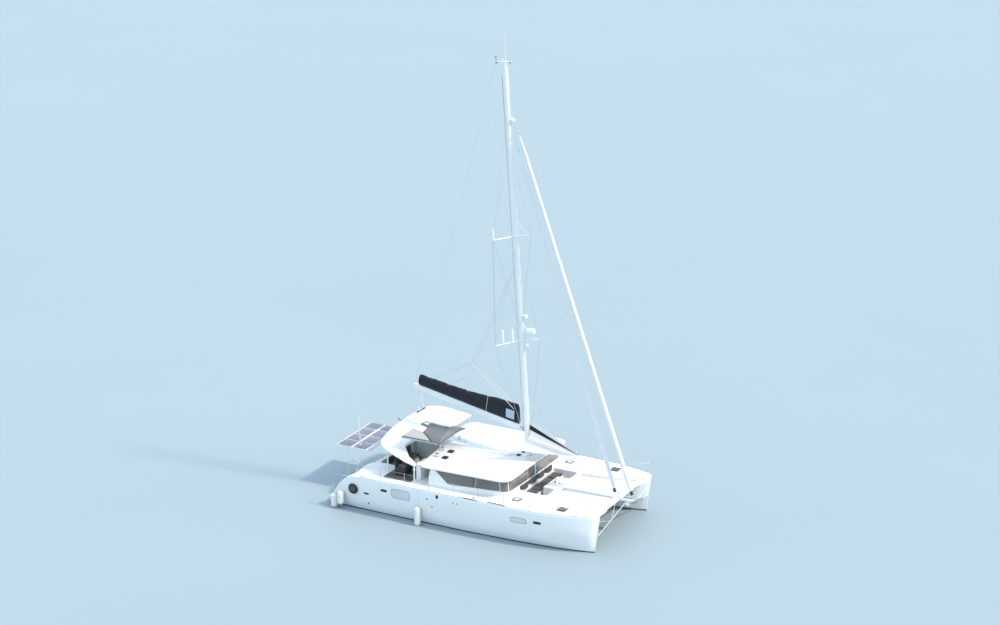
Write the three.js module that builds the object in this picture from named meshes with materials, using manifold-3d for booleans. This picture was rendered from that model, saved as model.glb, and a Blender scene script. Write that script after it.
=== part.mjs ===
// A sailing catamaran of about 14 m: two decked hulls, a bridgedeck with a hollow cabin, and a sloop rig.
// Millimetres. X runs forward, Y to port and Z up. The origin is on the waterline amidships.
import * as THREE from 'three';
import { mergeVertices } from 'three/addons/utils/BufferGeometryUtils.js';
import Module from 'manifold-3d';

const wasm = await Module();
wasm.setup();

// Driving dimensions
const LENGTH = 13960;
const HULL_Y = 2880;
const INNER_HALF = 1080;
const DECK_Z = 1750;
const TUNNEL_Z = 740;
const DRAUGHT = 1300;
const ROOF_Z = 2680;
const MAST_X = 1940;
const MAST_FOOT_Z = 2890;
const MAST_LENGTH = 18550;
const MAST_RAKE = 0.0818;
const BOOM_LENGTH = 7100;
const GAP = 0.3;

const BOW_X = LENGTH / 2;
const STERN_X = -LENGTH / 2;
const BRIDGE_AFT = -5400;
const BRIDGE_FORE = 3900;
const INNER_Y = HULL_Y - INNER_HALF;
const SIDES = [
  { name: 'starboard', sign: -1 },
  { name: 'port', sign: 1 },
];

// Finishes
const finish = (color, roughness, metalness = 0) =>
  new THREE.MeshStandardMaterial({ color, roughness, metalness });
const GELCOAT = finish(0xf2f3f2, 0.25);
const ANTIFOUL = finish(0x2b3a4c, 0.8);
const ALLOY = finish(0xeceeee, 0.35, 0.3);
const STEEL = finish(0xc4c8ca, 0.25, 0.9);
const BRONZE = finish(0xa9834f, 0.4, 0.9);
const DARK = finish(0x24262a, 0.6);
const TINTED = finish(0x3a3633, 0.1);
const ACRYLIC = finish(0x2c2f31, 0.2);
const CANVAS_WHITE = finish(0xeef0f3, 0.85);
const CANVAS_GREY = finish(0x8e9094, 0.9);
const CANVAS_NAVY = finish(0x1f2229, 0.9);
const CUSHION = finish(0x34363b, 0.9);
const MESH = finish(0xd9d5cf, 0.9);
const VINYL = finish(0xf4f4f2, 0.5);
const ENGINE = finish(0x9aa0a2, 0.6);
const CELLS = finish(0x5a5f8c, 0.25);

// Solids
const toSolid = (geometry) => {
  const bare = new THREE.BufferGeometry();
  bare.setAttribute('position', geometry.getAttribute('position'));
  if (geometry.index) bare.setIndex(geometry.index);
  const merged = mergeVertices(bare, 1e-3);
  return new wasm.Manifold(new wasm.Mesh({
    numProp: 3,
    vertProperties: new Float32Array(merged.getAttribute('position').array),
    triVerts: new Uint32Array(merged.index.array),
  }));
};

const toGeometry = (solid) => {
  const data = solid.getMesh();
  const geometry = new THREE.BufferGeometry();
  geometry.setAttribute('position', new THREE.BufferAttribute(data.vertProperties, 3));
  geometry.setIndex(new THREE.BufferAttribute(data.triVerts, 1));
  return geometry;
};

const box = (low, high) => {
  const size = high.map((v, i) => v - low[i]);
  const geometry = new THREE.BoxGeometry(...size);
  geometry.translate(...low.map((v, i) => v + size[i] / 2));
  return toSolid(geometry);
};

// A round bar from one point to another, or a cone where the two radii differ.
const rod = (from, to, radius, sides = 8, endRadius = radius) => {
  const a = new THREE.Vector3(...from);
  const b = new THREE.Vector3(...to);
  const geometry = new THREE.CylinderGeometry(endRadius, radius, a.distanceTo(b), sides);
  const turn = new THREE.Quaternion().setFromUnitVectors(
    new THREE.Vector3(0, 1, 0), b.clone().sub(a).normalize());
  geometry.applyQuaternion(turn);
  geometry.translate(...a.add(b).multiplyScalar(0.5).toArray());
  return toSolid(geometry);
};

const union = (parts) => parts.reduce((sum, part) => sum.add(part));

// Bars from point to point, with a ball a little wider than the bars over each bend.
const pipe = (points, radius, sides = 8) => {
  const bars = points.slice(1).map((point, i) => rod(points[i], point, radius, sides));
  const knots = points.slice(1, -1).map((point) => {
    const ball = new THREE.IcosahedronGeometry(radius * 1.06, 1);
    ball.translate(...point);
    return toSolid(ball);
  });
  return union([...bars, ...knots]);
};

// A flat plate: an outline of [x, y] points raised from one height to another.
const plate = (outline, z0, z1) => {
  const shape = new THREE.Shape(outline.map(([x, y]) => new THREE.Vector2(x, y)));
  const geometry = new THREE.ExtrudeGeometry(shape, { depth: z1 - z0, bevelEnabled: false });
  geometry.translate(0, 0, z0);
  return toSolid(geometry);
};

// A skin through rings of equal point counts, closed by a fan at each end.
const loft = (rings) => {
  const count = rings[0].length;
  const points = rings.flat();
  const faces = [];
  for (let i = 0; i < rings.length - 1; i += 1) {
    for (let j = 0; j < count; j += 1) {
      const k = (j + 1) % count;
      const a = i * count + j;
      const b = i * count + k;
      faces.push(a, b, b + count, a, b + count, a + count);
    }
  }
  [[0, -1], [rings.length - 1, 1]].forEach(([ring, way]) => {
    const middle = points.length;
    const sum = rings[ring].reduce((s, p) => s.map((v, i) => v + p[i]), [0, 0, 0]);
    points.push(sum.map((v) => v / count));
    for (let j = 0; j < count; j += 1) {
      const a = ring * count + j;
      const b = ring * count + ((j + 1) % count);
      faces.push(...(way > 0 ? [middle, a, b] : [middle, b, a]));
    }
  });
  const geometry = new THREE.BufferGeometry();
  geometry.setAttribute('position', new THREE.Float32BufferAttribute(points.flat(), 3));
  geometry.setIndex(faces);
  const solid = toSolid(geometry);
  if (solid.volume() > 0) return solid;
  for (let i = 0; i < faces.length; i += 3) [faces[i], faces[i + 1]] = [faces[i + 1], faces[i]];
  geometry.setIndex(faces);
  return toSolid(geometry);
};

// Moves a solid along a unit direction until it lies a hair off another one.
const seated = (solid, target, way) => {
  let moved = solid;
  for (let i = 0; i < 14; i += 1) {
    const step = moved.minGap(target, 600) - GAP;
    moved = moved.translate(way.map((v) => v * step));
  }
  return moved;
};

const mirrored = (solid, sign) => (sign > 0 ? solid : solid.mirror([0, 1, 0]));

const object = new THREE.Group();
const place = (name, solid, material, group = object) => {
  const mesh = new THREE.Mesh(toGeometry(solid), material);
  mesh.name = name;
  group.add(mesh);
  return mesh;
};

// Hulls. Columns: x, half breadth outboard and inboard at the deck, half breadth on the waterline,
// lowest point of the canoe body, height of the sheer, share of the stem's rake.
const HULL_TABLE = [
  [-6980, 800, 780, 480, -40, 320, 0],
  [-6640, 850, 830, 530, -130, 600, 0],
  [-6200, 940, 930, 590, -240, 1210, 0],
  [-5750, 990, 1010, 620, -340, 1610, 0],
  [-5400, 1015, INNER_HALF, 635, -400, 1740, 0],
  [-5150, 1020, INNER_HALF, 640, -430, DECK_Z, 0],
  [-3200, 1040, INNER_HALF, 670, -560, DECK_Z, 0],
  [0, 1040, INNER_HALF, 680, -640, DECK_Z, 0],
  [2200, 1020, INNER_HALF, 610, -620, DECK_Z, 0],
  [BRIDGE_FORE, 940, INNER_HALF, 500, -560, DECK_Z, 0],
  [4900, 830, 960, 400, -490, 1765, 0.1],
  [5900, 620, 720, 260, -380, 1785, 0.45],
  [6600, 370, 440, 130, -270, 1805, 0.8],
  [6850, 210, 240, 70, -220, 1812, 0.95],
  [BOW_X, 40, 40, 25, -180, 1815, 1],
];
const STEM_RAKE = 0.12;
const FOREFOOT = 1.6;

const hullRing = ([x, out, inner, wet, low, sheer, raked]) => {
  const chine = Math.min(TUNNEL_Z, sheer * 0.5);
  const profile = [
    [out, sheer], [out * 0.985 + wet * 0.015, sheer * 0.72 + 40], [out * 0.93, sheer * 0.5],
    [out * 0.45 + wet * 0.55, sheer * 0.2], [wet, 0], [wet * 0.86, low * 0.45], [wet * 0.55, low * 0.82],
    [0, low], [-wet * 0.55, low * 0.82], [-wet * 0.86, low * 0.45], [-wet, 0],
    [-wet - (inner - wet) * 0.3, chine * 0.7], [-inner, chine], [-inner, sheer],
  ];
  return profile.map(([y, z]) => {
    const back = STEM_RAKE * (sheer - z) + FOREFOOT * Math.max(0, -z);
    return [x - raked * back, y + HULL_Y, z];
  });
};

// Swim steps cut into each stern. Columns: aft end, forward end, floor height.
const STEP_TABLE = [
  [STERN_X - 50, -6560, 250],
  [-6560, -6230, 540],
  [-6230, -5900, 830],
  [-5900, -5560, 1130],
];
const STEP_HALF = 690;

const BAY = { aft: -5360, fore: -4460, half: 430, floor: -180 };
const LID = { aft: -5440, fore: -4380, half: 510, thick: 40 };
const LOCKER = { aft: 4720, fore: 5340, half: 260, floor: 700 };
const LOCKER_LID = { aft: 4660, fore: 5400, half: 320, thick: 30 };
const RUDDER = { x: -6050, stock: 26, bore: 26.6, top: -330, chord: 430, tip: -1230 };
const DRIVE_X = -4560;
const SHAFT_Z = -980;

const hullBody = loft(HULL_TABLE.map(hullRing));
const stepCuts = union(STEP_TABLE.map(([aft, fore, floor]) =>
  box([aft, HULL_Y - STEP_HALF, floor], [fore, HULL_Y + STEP_HALF, 2200])));
const bayCut = union([
  box([BAY.aft, HULL_Y - BAY.half, BAY.floor], [BAY.fore, HULL_Y + BAY.half, 2000]),
  box([LID.aft, HULL_Y - LID.half, DECK_Z - LID.thick], [LID.fore, HULL_Y + LID.half, 2000]),
]);
const lockerCut = union([
  box([LOCKER.aft, HULL_Y - LOCKER.half, LOCKER.floor], [LOCKER.fore, HULL_Y + LOCKER.half, 2100]),
  box([LOCKER_LID.aft, HULL_Y - LOCKER_LID.half, 1775 - LOCKER_LID.thick],
    [LOCKER_LID.fore, HULL_Y + LOCKER_LID.half, 2100]),
]);
const stockBore = rod([RUDDER.x, HULL_Y, -700], [RUDDER.x, HULL_Y, 60], RUDDER.bore, 24);
const hull = hullBody.subtract(stepCuts).subtract(bayCut).subtract(lockerCut).subtract(stockBore);

const hullClear = hullBody.translate([0, 0, -GAP - 0.1]);

// Stub keel: a lofted fin with a flat sole.
const KEEL = {
  aft: -1500, fore: 1700, width: 230, top: -560, soleAft: -1150, soleFore: 1250, soleWidth: 190,
};
const finRing = (aft, fore, width, z) => {
  const length = fore - aft;
  const half = width / 2;
  return [[0, 0], [0.3, 0.72], [0.62, 1], [0.88, 0.72], [1, 0], [0.88, -0.72], [0.62, -1], [0.3, -0.72]]
    .map(([u, v]) => [aft + u * length, HULL_Y + v * half, z]);
};
const keel = loft([
  finRing(KEEL.aft, KEEL.fore, KEEL.width, KEEL.top + 120),
  finRing(KEEL.soleAft, KEEL.soleFore, KEEL.soleWidth, -DRAUGHT),
]).subtract(hullClear);

// Saildrive leg with its gear pod, and a three bladed propeller behind it.
const POD = { back: -210, radius: 80 };
const driveLeg = union([
  loft([
    finRing(DRIVE_X - 170, DRIVE_X + 170, 110, -380),
    finRing(DRIVE_X - 140, DRIVE_X + 140, 90, SHAFT_Z),
  ]),
  rod([DRIVE_X + POD.back, HULL_Y, SHAFT_Z], [DRIVE_X + 190, HULL_Y, SHAFT_Z], POD.radius, 12),
  rod([DRIVE_X + 190, HULL_Y, SHAFT_Z], [DRIVE_X + 300, HULL_Y, SHAFT_Z], POD.radius, 12, 20),
]).subtract(hullClear);

const BLADE = { count: 3, root: 40, reach: 230, chord: 120, thick: 14, pitch: 0.6 };
const propeller = () => {
  const shaftBack = POD.back - GAP - 60;
  const hub = union([
    rod([shaftBack, 0, 0], [shaftBack + 60, 0, 0], 60, 12, 76),
    rod([shaftBack - 90, 0, 0], [shaftBack, 0, 0], 20, 12, 60),
  ]);
  const blade = new THREE.BoxGeometry(BLADE.thick, BLADE.chord, BLADE.reach - BLADE.root);
  blade.rotateZ(BLADE.pitch);
  blade.translate(shaftBack + 12, 0, (BLADE.root + BLADE.reach) / 2);
  const blades = Array.from({ length: BLADE.count }, (_, i) =>
    toSolid(blade.clone().rotateX((i * 2 * Math.PI) / BLADE.count)));
  return union([hub, ...blades]);
};

const rudder = union([
  loft([
    finRing(-0.72 * RUDDER.chord, 0.28 * RUDDER.chord, 80, RUDDER.top),
    finRing(-0.62 * RUDDER.chord, 0.22 * RUDDER.chord, 50, RUDDER.tip),
  ]).translate([0, -HULL_Y, 0]),
  rod([0, 0, RUDDER.top - 100], [0, 0, 50], RUDDER.stock, 24),
]);

SIDES.forEach(({ name, sign }) => {
  place(`hull_${name}`, mirrored(hull, sign), GELCOAT);
  place(`keel_${name}`, mirrored(keel, sign), ANTIFOUL);
  place(`saildrive_${name}`, mirrored(driveLeg, sign), ENGINE);
  place(`engine_${name}`, box([BAY.aft + 120, -260, BAY.floor + 0.3], [BAY.fore - 120, 260, 420]), ENGINE)
    .position.y = sign * HULL_Y;
  const screw = place(`propeller_${name}`, propeller(), BRONZE);
  screw.position.set(DRIVE_X, sign * HULL_Y, SHAFT_Z);
  const blade = place(`rudder_${name}`, rudder, ANTIFOUL);
  blade.position.set(RUDDER.x, sign * HULL_Y, 0);
  place(`engine_lid_${name}`, box(
    [LID.aft + 8, -LID.half + 8, DECK_Z - LID.thick + GAP], [LID.fore - 8, LID.half - 8, DECK_Z]), GELCOAT)
    .position.y = sign * HULL_Y;
  place(`locker_lid_${name}`, box(
    [LOCKER_LID.aft + 6, -LOCKER_LID.half + 6, 1775 - LOCKER_LID.thick + GAP],
    [LOCKER_LID.fore - 6, LOCKER_LID.half - 6, 1778]), ACRYLIC)
    .position.y = sign * HULL_Y;
});

// Bridgedeck: one moulding with the saloon, the aft cockpit and the forward cockpit sunk into it.
const SALOON = { aft: -1640, fore: 2180, half: 1700, floor: 850 };
const COCKPIT = { aft: -5200, fore: -1760, half: 1700, floor: 960 };
const WELL = { aft: 2420, mid: 3100, fore: 3720, half: 1700, nose: 760, floor: 1250 };
const bridgeSlab = box([BRIDGE_AFT, -INNER_Y + GAP, TUNNEL_Z + GAP], [BRIDGE_FORE, INNER_Y - GAP, DECK_Z]);
const bridge = bridgeSlab.subtract(union([
  box([SALOON.aft, -SALOON.half, SALOON.floor], [SALOON.fore, SALOON.half, 2000]),
  box([COCKPIT.aft, -COCKPIT.half, COCKPIT.floor], [COCKPIT.fore, COCKPIT.half, 2000]),
  box([WELL.aft, -WELL.half, WELL.floor], [WELL.mid, WELL.half, 2000]),
  box([WELL.aft, -WELL.half, WELL.floor], [WELL.fore, -WELL.nose, 2000]),
  box([WELL.aft, WELL.nose, WELL.floor], [WELL.fore, WELL.half, 2000]),
]));
const DOOR = { low: 900, high: 2480, y0: -750, y1: 150 };
place('bridgedeck', bridge.subtract(
  box([COCKPIT.fore - 20, DOOR.y0, DOOR.low], [SALOON.aft + 20, DOOR.y1, 2000])), GELCOAT);

// Cabin: walls round the saloon, leaning in a little, under a cambered roof with a deep front overhang.
const CABIN = { aft: -1760, side: 3150, front: 2320, corner: 430, wall: 60, lean: 70, taper: 330 };
const ROOF = { edge: ROOF_Z, crown: 190, thick: 110, half: 3280, front: 2560, aft: -2150 };

// Half of the cabin's plan from the front's middle to the aft end, set in by an inset.
const cabinHalf = (inset) => {
  const sideFront = CABIN.side - CABIN.taper - inset;
  const front = CABIN.front - inset;
  const arc = Array.from({ length: 5 }, (_, i) => {
    const t = (i / 4) * (Math.PI / 2);
    return [front - CABIN.corner * (1 - Math.cos(t)) - 20, sideFront - CABIN.corner * (1 - Math.sin(t))];
  });
  return [[front, 900], ...arc, [-300, CABIN.side - inset], [CABIN.aft + inset * 2, CABIN.side - inset]];
};
const cabinRing = (inset, z) => {
  const half = cabinHalf(inset);
  const other = half.map(([x, y]) => [x, -y]).reverse();
  return [...half, ...other].map(([x, y]) => [x, y, z]);
};
const cabinSolid = (inset) => loft([
  cabinRing(inset, DECK_Z + GAP),
  cabinRing(inset + CABIN.lean, ROOF_Z + 200),
]);

// A bar of the roof's cambered section: everything below the roof's curve moved down by a drop.
const crownHeight = (y) => ROOF.edge + ROOF.crown * (1 - (y / ROOF.half) ** 2);
const belowCrown = (drop, bottom) => {
  const steps = 12;
  const curve = Array.from({ length: steps + 1 }, (_, i) => {
    const y = ROOF.half * (1 - (2 * i) / steps) * 1.02;
    return new THREE.Vector2(y, crownHeight(y) - drop);
  });
  const shape = new THREE.Shape([
    new THREE.Vector2(-ROOF.half * 1.02, bottom), new THREE.Vector2(ROOF.half * 1.02, bottom), ...curve,
  ]);
  const geometry = new THREE.ExtrudeGeometry(shape, { depth: 8000, bevelEnabled: false });
  geometry.rotateX(Math.PI / 2);
  geometry.rotateZ(Math.PI / 2);
  geometry.translate(-4000, 0, 0);
  return toSolid(geometry);
};

const WINDOW = { low: 2040, high: 2540, aft: -1480, fore: 1870 };
const openings = union([
  box([WINDOW.aft, -3500, WINDOW.low], [WINDOW.fore, 3500, WINDOW.high]),
  box([1500, -2230, WINDOW.low], [2800, -800, WINDOW.high]),
  box([1500, -740, WINDOW.low], [2800, 740, WINDOW.high]),
  box([1500, 800, WINDOW.low], [2800, 2230, WINDOW.high]),
]);
const doorway = box([CABIN.aft - 20, DOOR.y0, DOOR.low], [SALOON.aft + 2 * CABIN.lean + 60, DOOR.y1, DOOR.high]);
const walls = cabinSolid(0).subtract(cabinSolid(CABIN.wall)).intersect(belowCrown(ROOF.thick + GAP, 1000));
place('cabin_walls', walls.subtract(openings).subtract(doorway), GELCOAT);

const GLASS = { gap: 0.4, thick: 12, rim: 25 };
const glassSkin = cabinSolid(-GLASS.gap - GLASS.thick).subtract(cabinSolid(-GLASS.gap));
const glassBand = (low, high) => glassSkin.intersect(box(low, high));
const [glassLow, glassHigh] = [WINDOW.low - GLASS.rim, WINDOW.high + GLASS.rim];
place('window_front', glassBand([1960, -3500, glassLow], [2600, 3500, glassHigh]), TINTED);
SIDES.forEach(({ name, sign }) => {
  const [y0, y1] = sign > 0 ? [100, 3500] : [-3500, -100];
  place(`window_${name}`, glassBand([WINDOW.aft - 40, y0, glassLow], [1950, y1, glassHigh]), TINTED);
});

const roofOutline = [
  [ROOF.aft, -3130], [ROOF.aft + 130, -3280], [2000, -3200], [2330, -3080], [2500, -2800],
  [ROOF.front, -2300], [ROOF.front + 40, 0], [ROOF.front, 2300],
  [2500, 2800], [2330, 3080], [2000, 3200], [ROOF.aft - 500, 3280],
  [-2900, 2900], [-2850, 1900], [-2620, 200], [-2300, -1000],
];
const roof = belowCrown(0, 1000).subtract(belowCrown(ROOF.thick, 900)).intersect(plate(roofOutline, 2000, 3200));
place('cabin_roof', roof, GELCOAT);

// Sliding door on the saloon's aft wall, standing in a sill track.
const SLIDE = { travel: 860, lap: 40, thick: 30, x: CABIN.aft - 8, low: 976, high: 2520 };
place('door_sill', box([SLIDE.x - SLIDE.thick, DOOR.y0 - SLIDE.lap - 30, COCKPIT.floor + GAP],
  [CABIN.aft - GAP, DOOR.y1 + SLIDE.lap + SLIDE.travel + 30, SLIDE.low - GAP]), ALLOY);
place('saloon_door', box([SLIDE.x - SLIDE.thick, DOOR.y0 - SLIDE.lap, SLIDE.low],
  [SLIDE.x, DOOR.y1 + SLIDE.lap, SLIDE.high]), TINTED);

// Hardtop over the aft cockpit with a bay for the helm, on its own posts.
// Its starboard arm droops towards its tip. Outline: port side, port corner, starboard corner, arm, bay.
const HARDTOP = { top: 2950, thick: 90, arm: -4000, reach: 1600, droop: 350 };
const hardtopOutline = [
  [-3000, 3480], [-3740, 3620], [-4200, 3760], [-4660, 3850], [-5140, 3790], [-5500, 3560], [-5660, 3070],
  [-5670, 2470], [-5650, 1640], [-5620, 910], [-5520, 60], [-5380, -750], [-5160, -1590], [-5010, -1970],
  [-4780, -2310], [-4520, -2560], [-4040, -2910], [-3550, -3160], [-2950, -3330], [-2400, -3240],
  [-2380, -3080], [-2820, -2800], [-2960, -2780], [-3510, -2100], [-3700, -1900], [-3760, -900],
  [-3000, -700],
];
// Columns: x, y, height below the hardtop's top.
const hardtopPosts = [
  [-4150, -2740, 20], [-2470, -3160, 370], [-4150, 2950, 20], [-3100, 3330, 20],
].map(([x, y, below]) => rod([x, y, DECK_Z + GAP], [x, y, HARDTOP.top - below], 36, 10));
const hardtopPlate = plate(hardtopOutline, HARDTOP.top - HARDTOP.thick, HARDTOP.top).warp((vertex) => {
  const along = vertex[1] < -2000 ? Math.max(0, vertex[0] - HARDTOP.arm) / HARDTOP.reach : 0;
  vertex[2] -= HARDTOP.droop * along ** 2;
});
const hardtop = union([hardtopPlate, ...hardtopPosts]);
place('hardtop', hardtop, GELCOAT);

// Aft cockpit settee and the raised helm on the starboard side.
place('cockpit_settee', union([
  box([COCKPIT.aft + GAP, -1100, COCKPIT.floor + GAP], [COCKPIT.aft + 620, 1100, 1400]),
  box([COCKPIT.aft + GAP, -1100, COCKPIT.floor + GAP], [COCKPIT.aft + 120, 1100, 1740]),
]), CUSHION);
const HELM = { y: -2420, consoleX: -2560, seatX: -3420, wheelX: -2800, wheelZ: 2480, wheelR: 330 };
place('helm_console', plate([
  [HELM.consoleX, HELM.y - 450], [HELM.consoleX + 260, HELM.y - 450],
  [HELM.consoleX + 260, HELM.y + 450], [HELM.consoleX, HELM.y + 450],
], DECK_Z + GAP, 2560), GELCOAT);
place('helm_seat', union([
  box([HELM.seatX - 300, HELM.y - 430, DECK_Z + GAP], [HELM.seatX + 200, HELM.y + 430, 2250]),
  box([HELM.seatX - 300, HELM.y - 430, DECK_Z + 100], [HELM.seatX - 200, HELM.y + 430, 2700]),
]), GELCOAT);
const rim = new THREE.TorusGeometry(HELM.wheelR, 15, 6, 28);
rim.rotateY(Math.PI / 2);
const spokes = Array.from({ length: 5 }, (_, i) => {
  const t = (i * 2 * Math.PI) / 5;
  return rod([0, 0, 0], [0, HELM.wheelR * Math.sin(t), HELM.wheelR * Math.cos(t)], 9, 6);
});
const wheel = place('steering_wheel', union([
  toSolid(rim), ...spokes, rod([-30, 0, 0], [HELM.consoleX - HELM.wheelX - GAP, 0, 0], 34, 12),
]), DARK);
wheel.position.set(HELM.wheelX, HELM.y, HELM.wheelZ);

// Canvas sheets are closed by a second layer below the first.
const sheet = (points, faces, thick) => {
  const count = points.length;
  const all = [...points, ...points.map(([x, y, z]) => [x, y, z - thick])];
  const triangles = faces.flatMap(([a, b, c]) => [a, b, c, count + a, count + c, count + b]);
  const edges = new Map();
  faces.forEach(([a, b, c]) => [[a, b], [b, c], [c, a]].forEach(([p, q]) => {
    if (edges.has(`${q},${p}`)) edges.delete(`${q},${p}`);
    else edges.set(`${p},${q}`, [p, q]);
  }));
  edges.forEach(([p, q]) => triangles.push(q, p, count + p, q, count + p, count + q));
  const geometry = new THREE.BufferGeometry();
  geometry.setAttribute('position', new THREE.Float32BufferAttribute(all.flat(), 3));
  geometry.setIndex(triangles);
  return toSolid(geometry);
};

// Helm canopy: grey canvas on a tube frame that stands on the roof and the hardtop.
const CANOPY = { aft: -3550, fore: -1500, y0: -2450, y1: 60, z: 3560, rise: 90, tube: 15 };
const canopyLoop = [
  [CANOPY.aft, CANOPY.y0, CANOPY.z], [CANOPY.fore, CANOPY.y0, CANOPY.z], [CANOPY.fore, CANOPY.y1, CANOPY.z],
  [CANOPY.aft, CANOPY.y1, CANOPY.z], [CANOPY.aft, CANOPY.y0, CANOPY.z],
];
const canopyLegs = [
  [[CANOPY.fore, CANOPY.y0, CANOPY.z], [CANOPY.fore, CANOPY.y0, crownHeight(CANOPY.y0) - 20]],
  [[CANOPY.fore, CANOPY.y1, CANOPY.z], [CANOPY.fore, CANOPY.y1, crownHeight(CANOPY.y1) - 20]],
  [[CANOPY.aft, CANOPY.y1, CANOPY.z], [CANOPY.aft, CANOPY.y1, HARDTOP.top - 20]],
  [[CANOPY.aft, CANOPY.y0, CANOPY.z], [CANOPY.aft + 20, -2900, HARDTOP.top - 60]],
];
place('canopy_frame', union([
  pipe(canopyLoop, CANOPY.tube, 8), ...canopyLegs.map(([a, b]) => rod(a, b, CANOPY.tube, 8)),
]).subtract(roof.translate([0, 0, GAP])).subtract(hardtop.translate([0, 0, GAP])), STEEL);
const canopyGrid = { nx: 4, ny: 4 };
const canopyPoints = [];
const canopyFaces = [];
for (let i = 0; i <= canopyGrid.nx; i += 1) {
  for (let j = 0; j <= canopyGrid.ny; j += 1) {
    const u = i / canopyGrid.nx;
    const v = j / canopyGrid.ny;
    const rise = CANOPY.rise * (1 - (2 * v - 1) ** 4);
    canopyPoints.push([
      CANOPY.aft + u * (CANOPY.fore - CANOPY.aft), CANOPY.y0 + v * (CANOPY.y1 - CANOPY.y0),
      CANOPY.z + CANOPY.tube * 1.06 + 25.4 + rise,
    ]);
    if (i < canopyGrid.nx && j < canopyGrid.ny) {
      const a = i * (canopyGrid.ny + 1) + j;
      const b = a + canopyGrid.ny + 1;
      canopyFaces.push([a, b, b + 1], [a, b + 1, a + 1]);
    }
  }
}
place('helm_canopy', sheet(canopyPoints, canopyFaces, 25), CANVAS_GREY);

// Fore end: crossbeam, longeron and bowsprit welded into one frame, with the trampolines either side.
const BEAM = { x: 6600, z: 1600, radius: 85 };
const SPRIT = { tip: 7460, half: 75, depth: 110, top: 1640 };
const clearOf = (solid, cutters) => cutters.reduce((s, c) => s.subtract(c), solid);
const hullPair = [0.4, 0].flatMap((shift) => SIDES.map(({ sign }) =>
  mirrored(hullBody.translate([0, -shift, 0]), sign)));
const foreFrame = clearOf(union([
  rod([BEAM.x, -2700, BEAM.z], [BEAM.x, 2700, BEAM.z], BEAM.radius, 16),
  box([BRIDGE_FORE + GAP, -SPRIT.half, SPRIT.top - SPRIT.depth], [SPRIT.tip, SPRIT.half, SPRIT.top]),
  pipe([[BEAM.x, -1500, BEAM.z + 60], [BEAM.x, 0, BEAM.z + 330], [BEAM.x, 1500, BEAM.z + 60]], 16, 8),
  box([BEAM.x - 20, -20, BEAM.z], [BEAM.x + 20, 20, BEAM.z + 330]),
]), hullPair);
place('crossbeam_frame', foreFrame, ALLOY);
const trampoline = box([BRIDGE_FORE + GAP, SPRIT.half + GAP, 1600], [BEAM.x, 2700, 1612]);
const beamClear = rod([BEAM.x, -2700, BEAM.z], [BEAM.x, 2700, BEAM.z], BEAM.radius + GAP, 16);
SIDES.forEach(({ name, sign }) => {
  const net = clearOf(mirrored(trampoline, sign), [...hullPair, beamClear]);
  const pieces = net.decompose().sort((a, b) => b.volume() - a.volume());
  place(`trampoline_${name}`, pieces[0], MESH);
});
const windlass = place('windlass', union([
  rod([0, 0, GAP], [0, 0, 70], 120, 16), rod([0, 0, 60], [0, 0, 190], 70, 16, 55),
]), STEEL);
windlass.position.set(3400, 0, DECK_Z);
place('anchor', union([
  box([6760, -14, 1440], [7420, 14, 1529.7]),
  loft([
    [[7300, -10, 1440], [7300, 10, 1440], [7300, 10, 1400], [7300, -10, 1400]],
    [[7120, -160, 1360], [7120, 160, 1360], [7120, 160, 1330], [7120, -160, 1330]],
    [[6980, -190, 1450], [6980, 190, 1450], [6980, 190, 1425], [6980, -190, 1425]],
  ]),
  box([7160, -14, 1345], [7260, 14, 1450]),
]), STEEL);

// Guardrails: pulpit, stanchions, two wires and pushpit on each side.
const RAIL = { height: 620, tube: 14, wire: 5 };
const STANCHIONS = [-3900, -2600, -1300, 0, 1300, 2600, 3900];
const edgeY = (x) => {
  const i = Math.max(1, HULL_TABLE.findIndex((row) => row[0] >= x));
  const [a, b] = [HULL_TABLE[i - 1], HULL_TABLE[i]];
  const t = (x - a[0]) / (b[0] - a[0]);
  return { y: HULL_Y + a[1] + t * (b[1] - a[1]) - 60, z: a[5] + t * (b[5] - a[5]) };
};
const railAt = (x, up) => [x, edgeY(x).y, edgeY(x).z + up];
const guardrail = union([
  ...STANCHIONS.map((x) => rod(railAt(x, 0.5), railAt(x, RAIL.height), RAIL.tube, 6)),
  ...[0.5, 1].flatMap((level) => {
    const stops = [-5150, ...STANCHIONS, 5200];
    return stops.slice(1).map((x, i) =>
      rod(railAt(stops[i], RAIL.height * level - 12), railAt(x, RAIL.height * level - 12), RAIL.wire, 6));
  }),
  pipe([railAt(5200, 0.5), railAt(5200, RAIL.height), [6500, HULL_Y + 320, 2430], [6900, HULL_Y, 2440],
    [6500, HULL_Y - 380, 2430], [6100, HULL_Y - 520, 2420], [6100, HULL_Y - 520, 1792]], RAIL.tube, 8),
  rod([6500, HULL_Y + 320, 2430], [6500, HULL_Y + 320, 1804], RAIL.tube, 8),
  rod([5200, edgeY(5200).y, 2090], [6500, HULL_Y + 320, 2110], 10, 6),
  pipe([railAt(-5150, 0.5), railAt(-5150, RAIL.height), railAt(-5700, RAIL.height + 60),
    [-5700, HULL_Y + 300, 2300], [-5480, HULL_Y + 300, 2250], [-5480, HULL_Y + 560, 1727]], RAIL.tube, 8),
  rod(railAt(-5700, 2), railAt(-5700, RAIL.height + 60), RAIL.tube, 8),
]).subtract(hull.translate([0, 0, GAP]));
SIDES.forEach(({ name, sign }) => place(`guardrail_${name}`, mirrored(guardrail, sign), STEEL));

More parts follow.
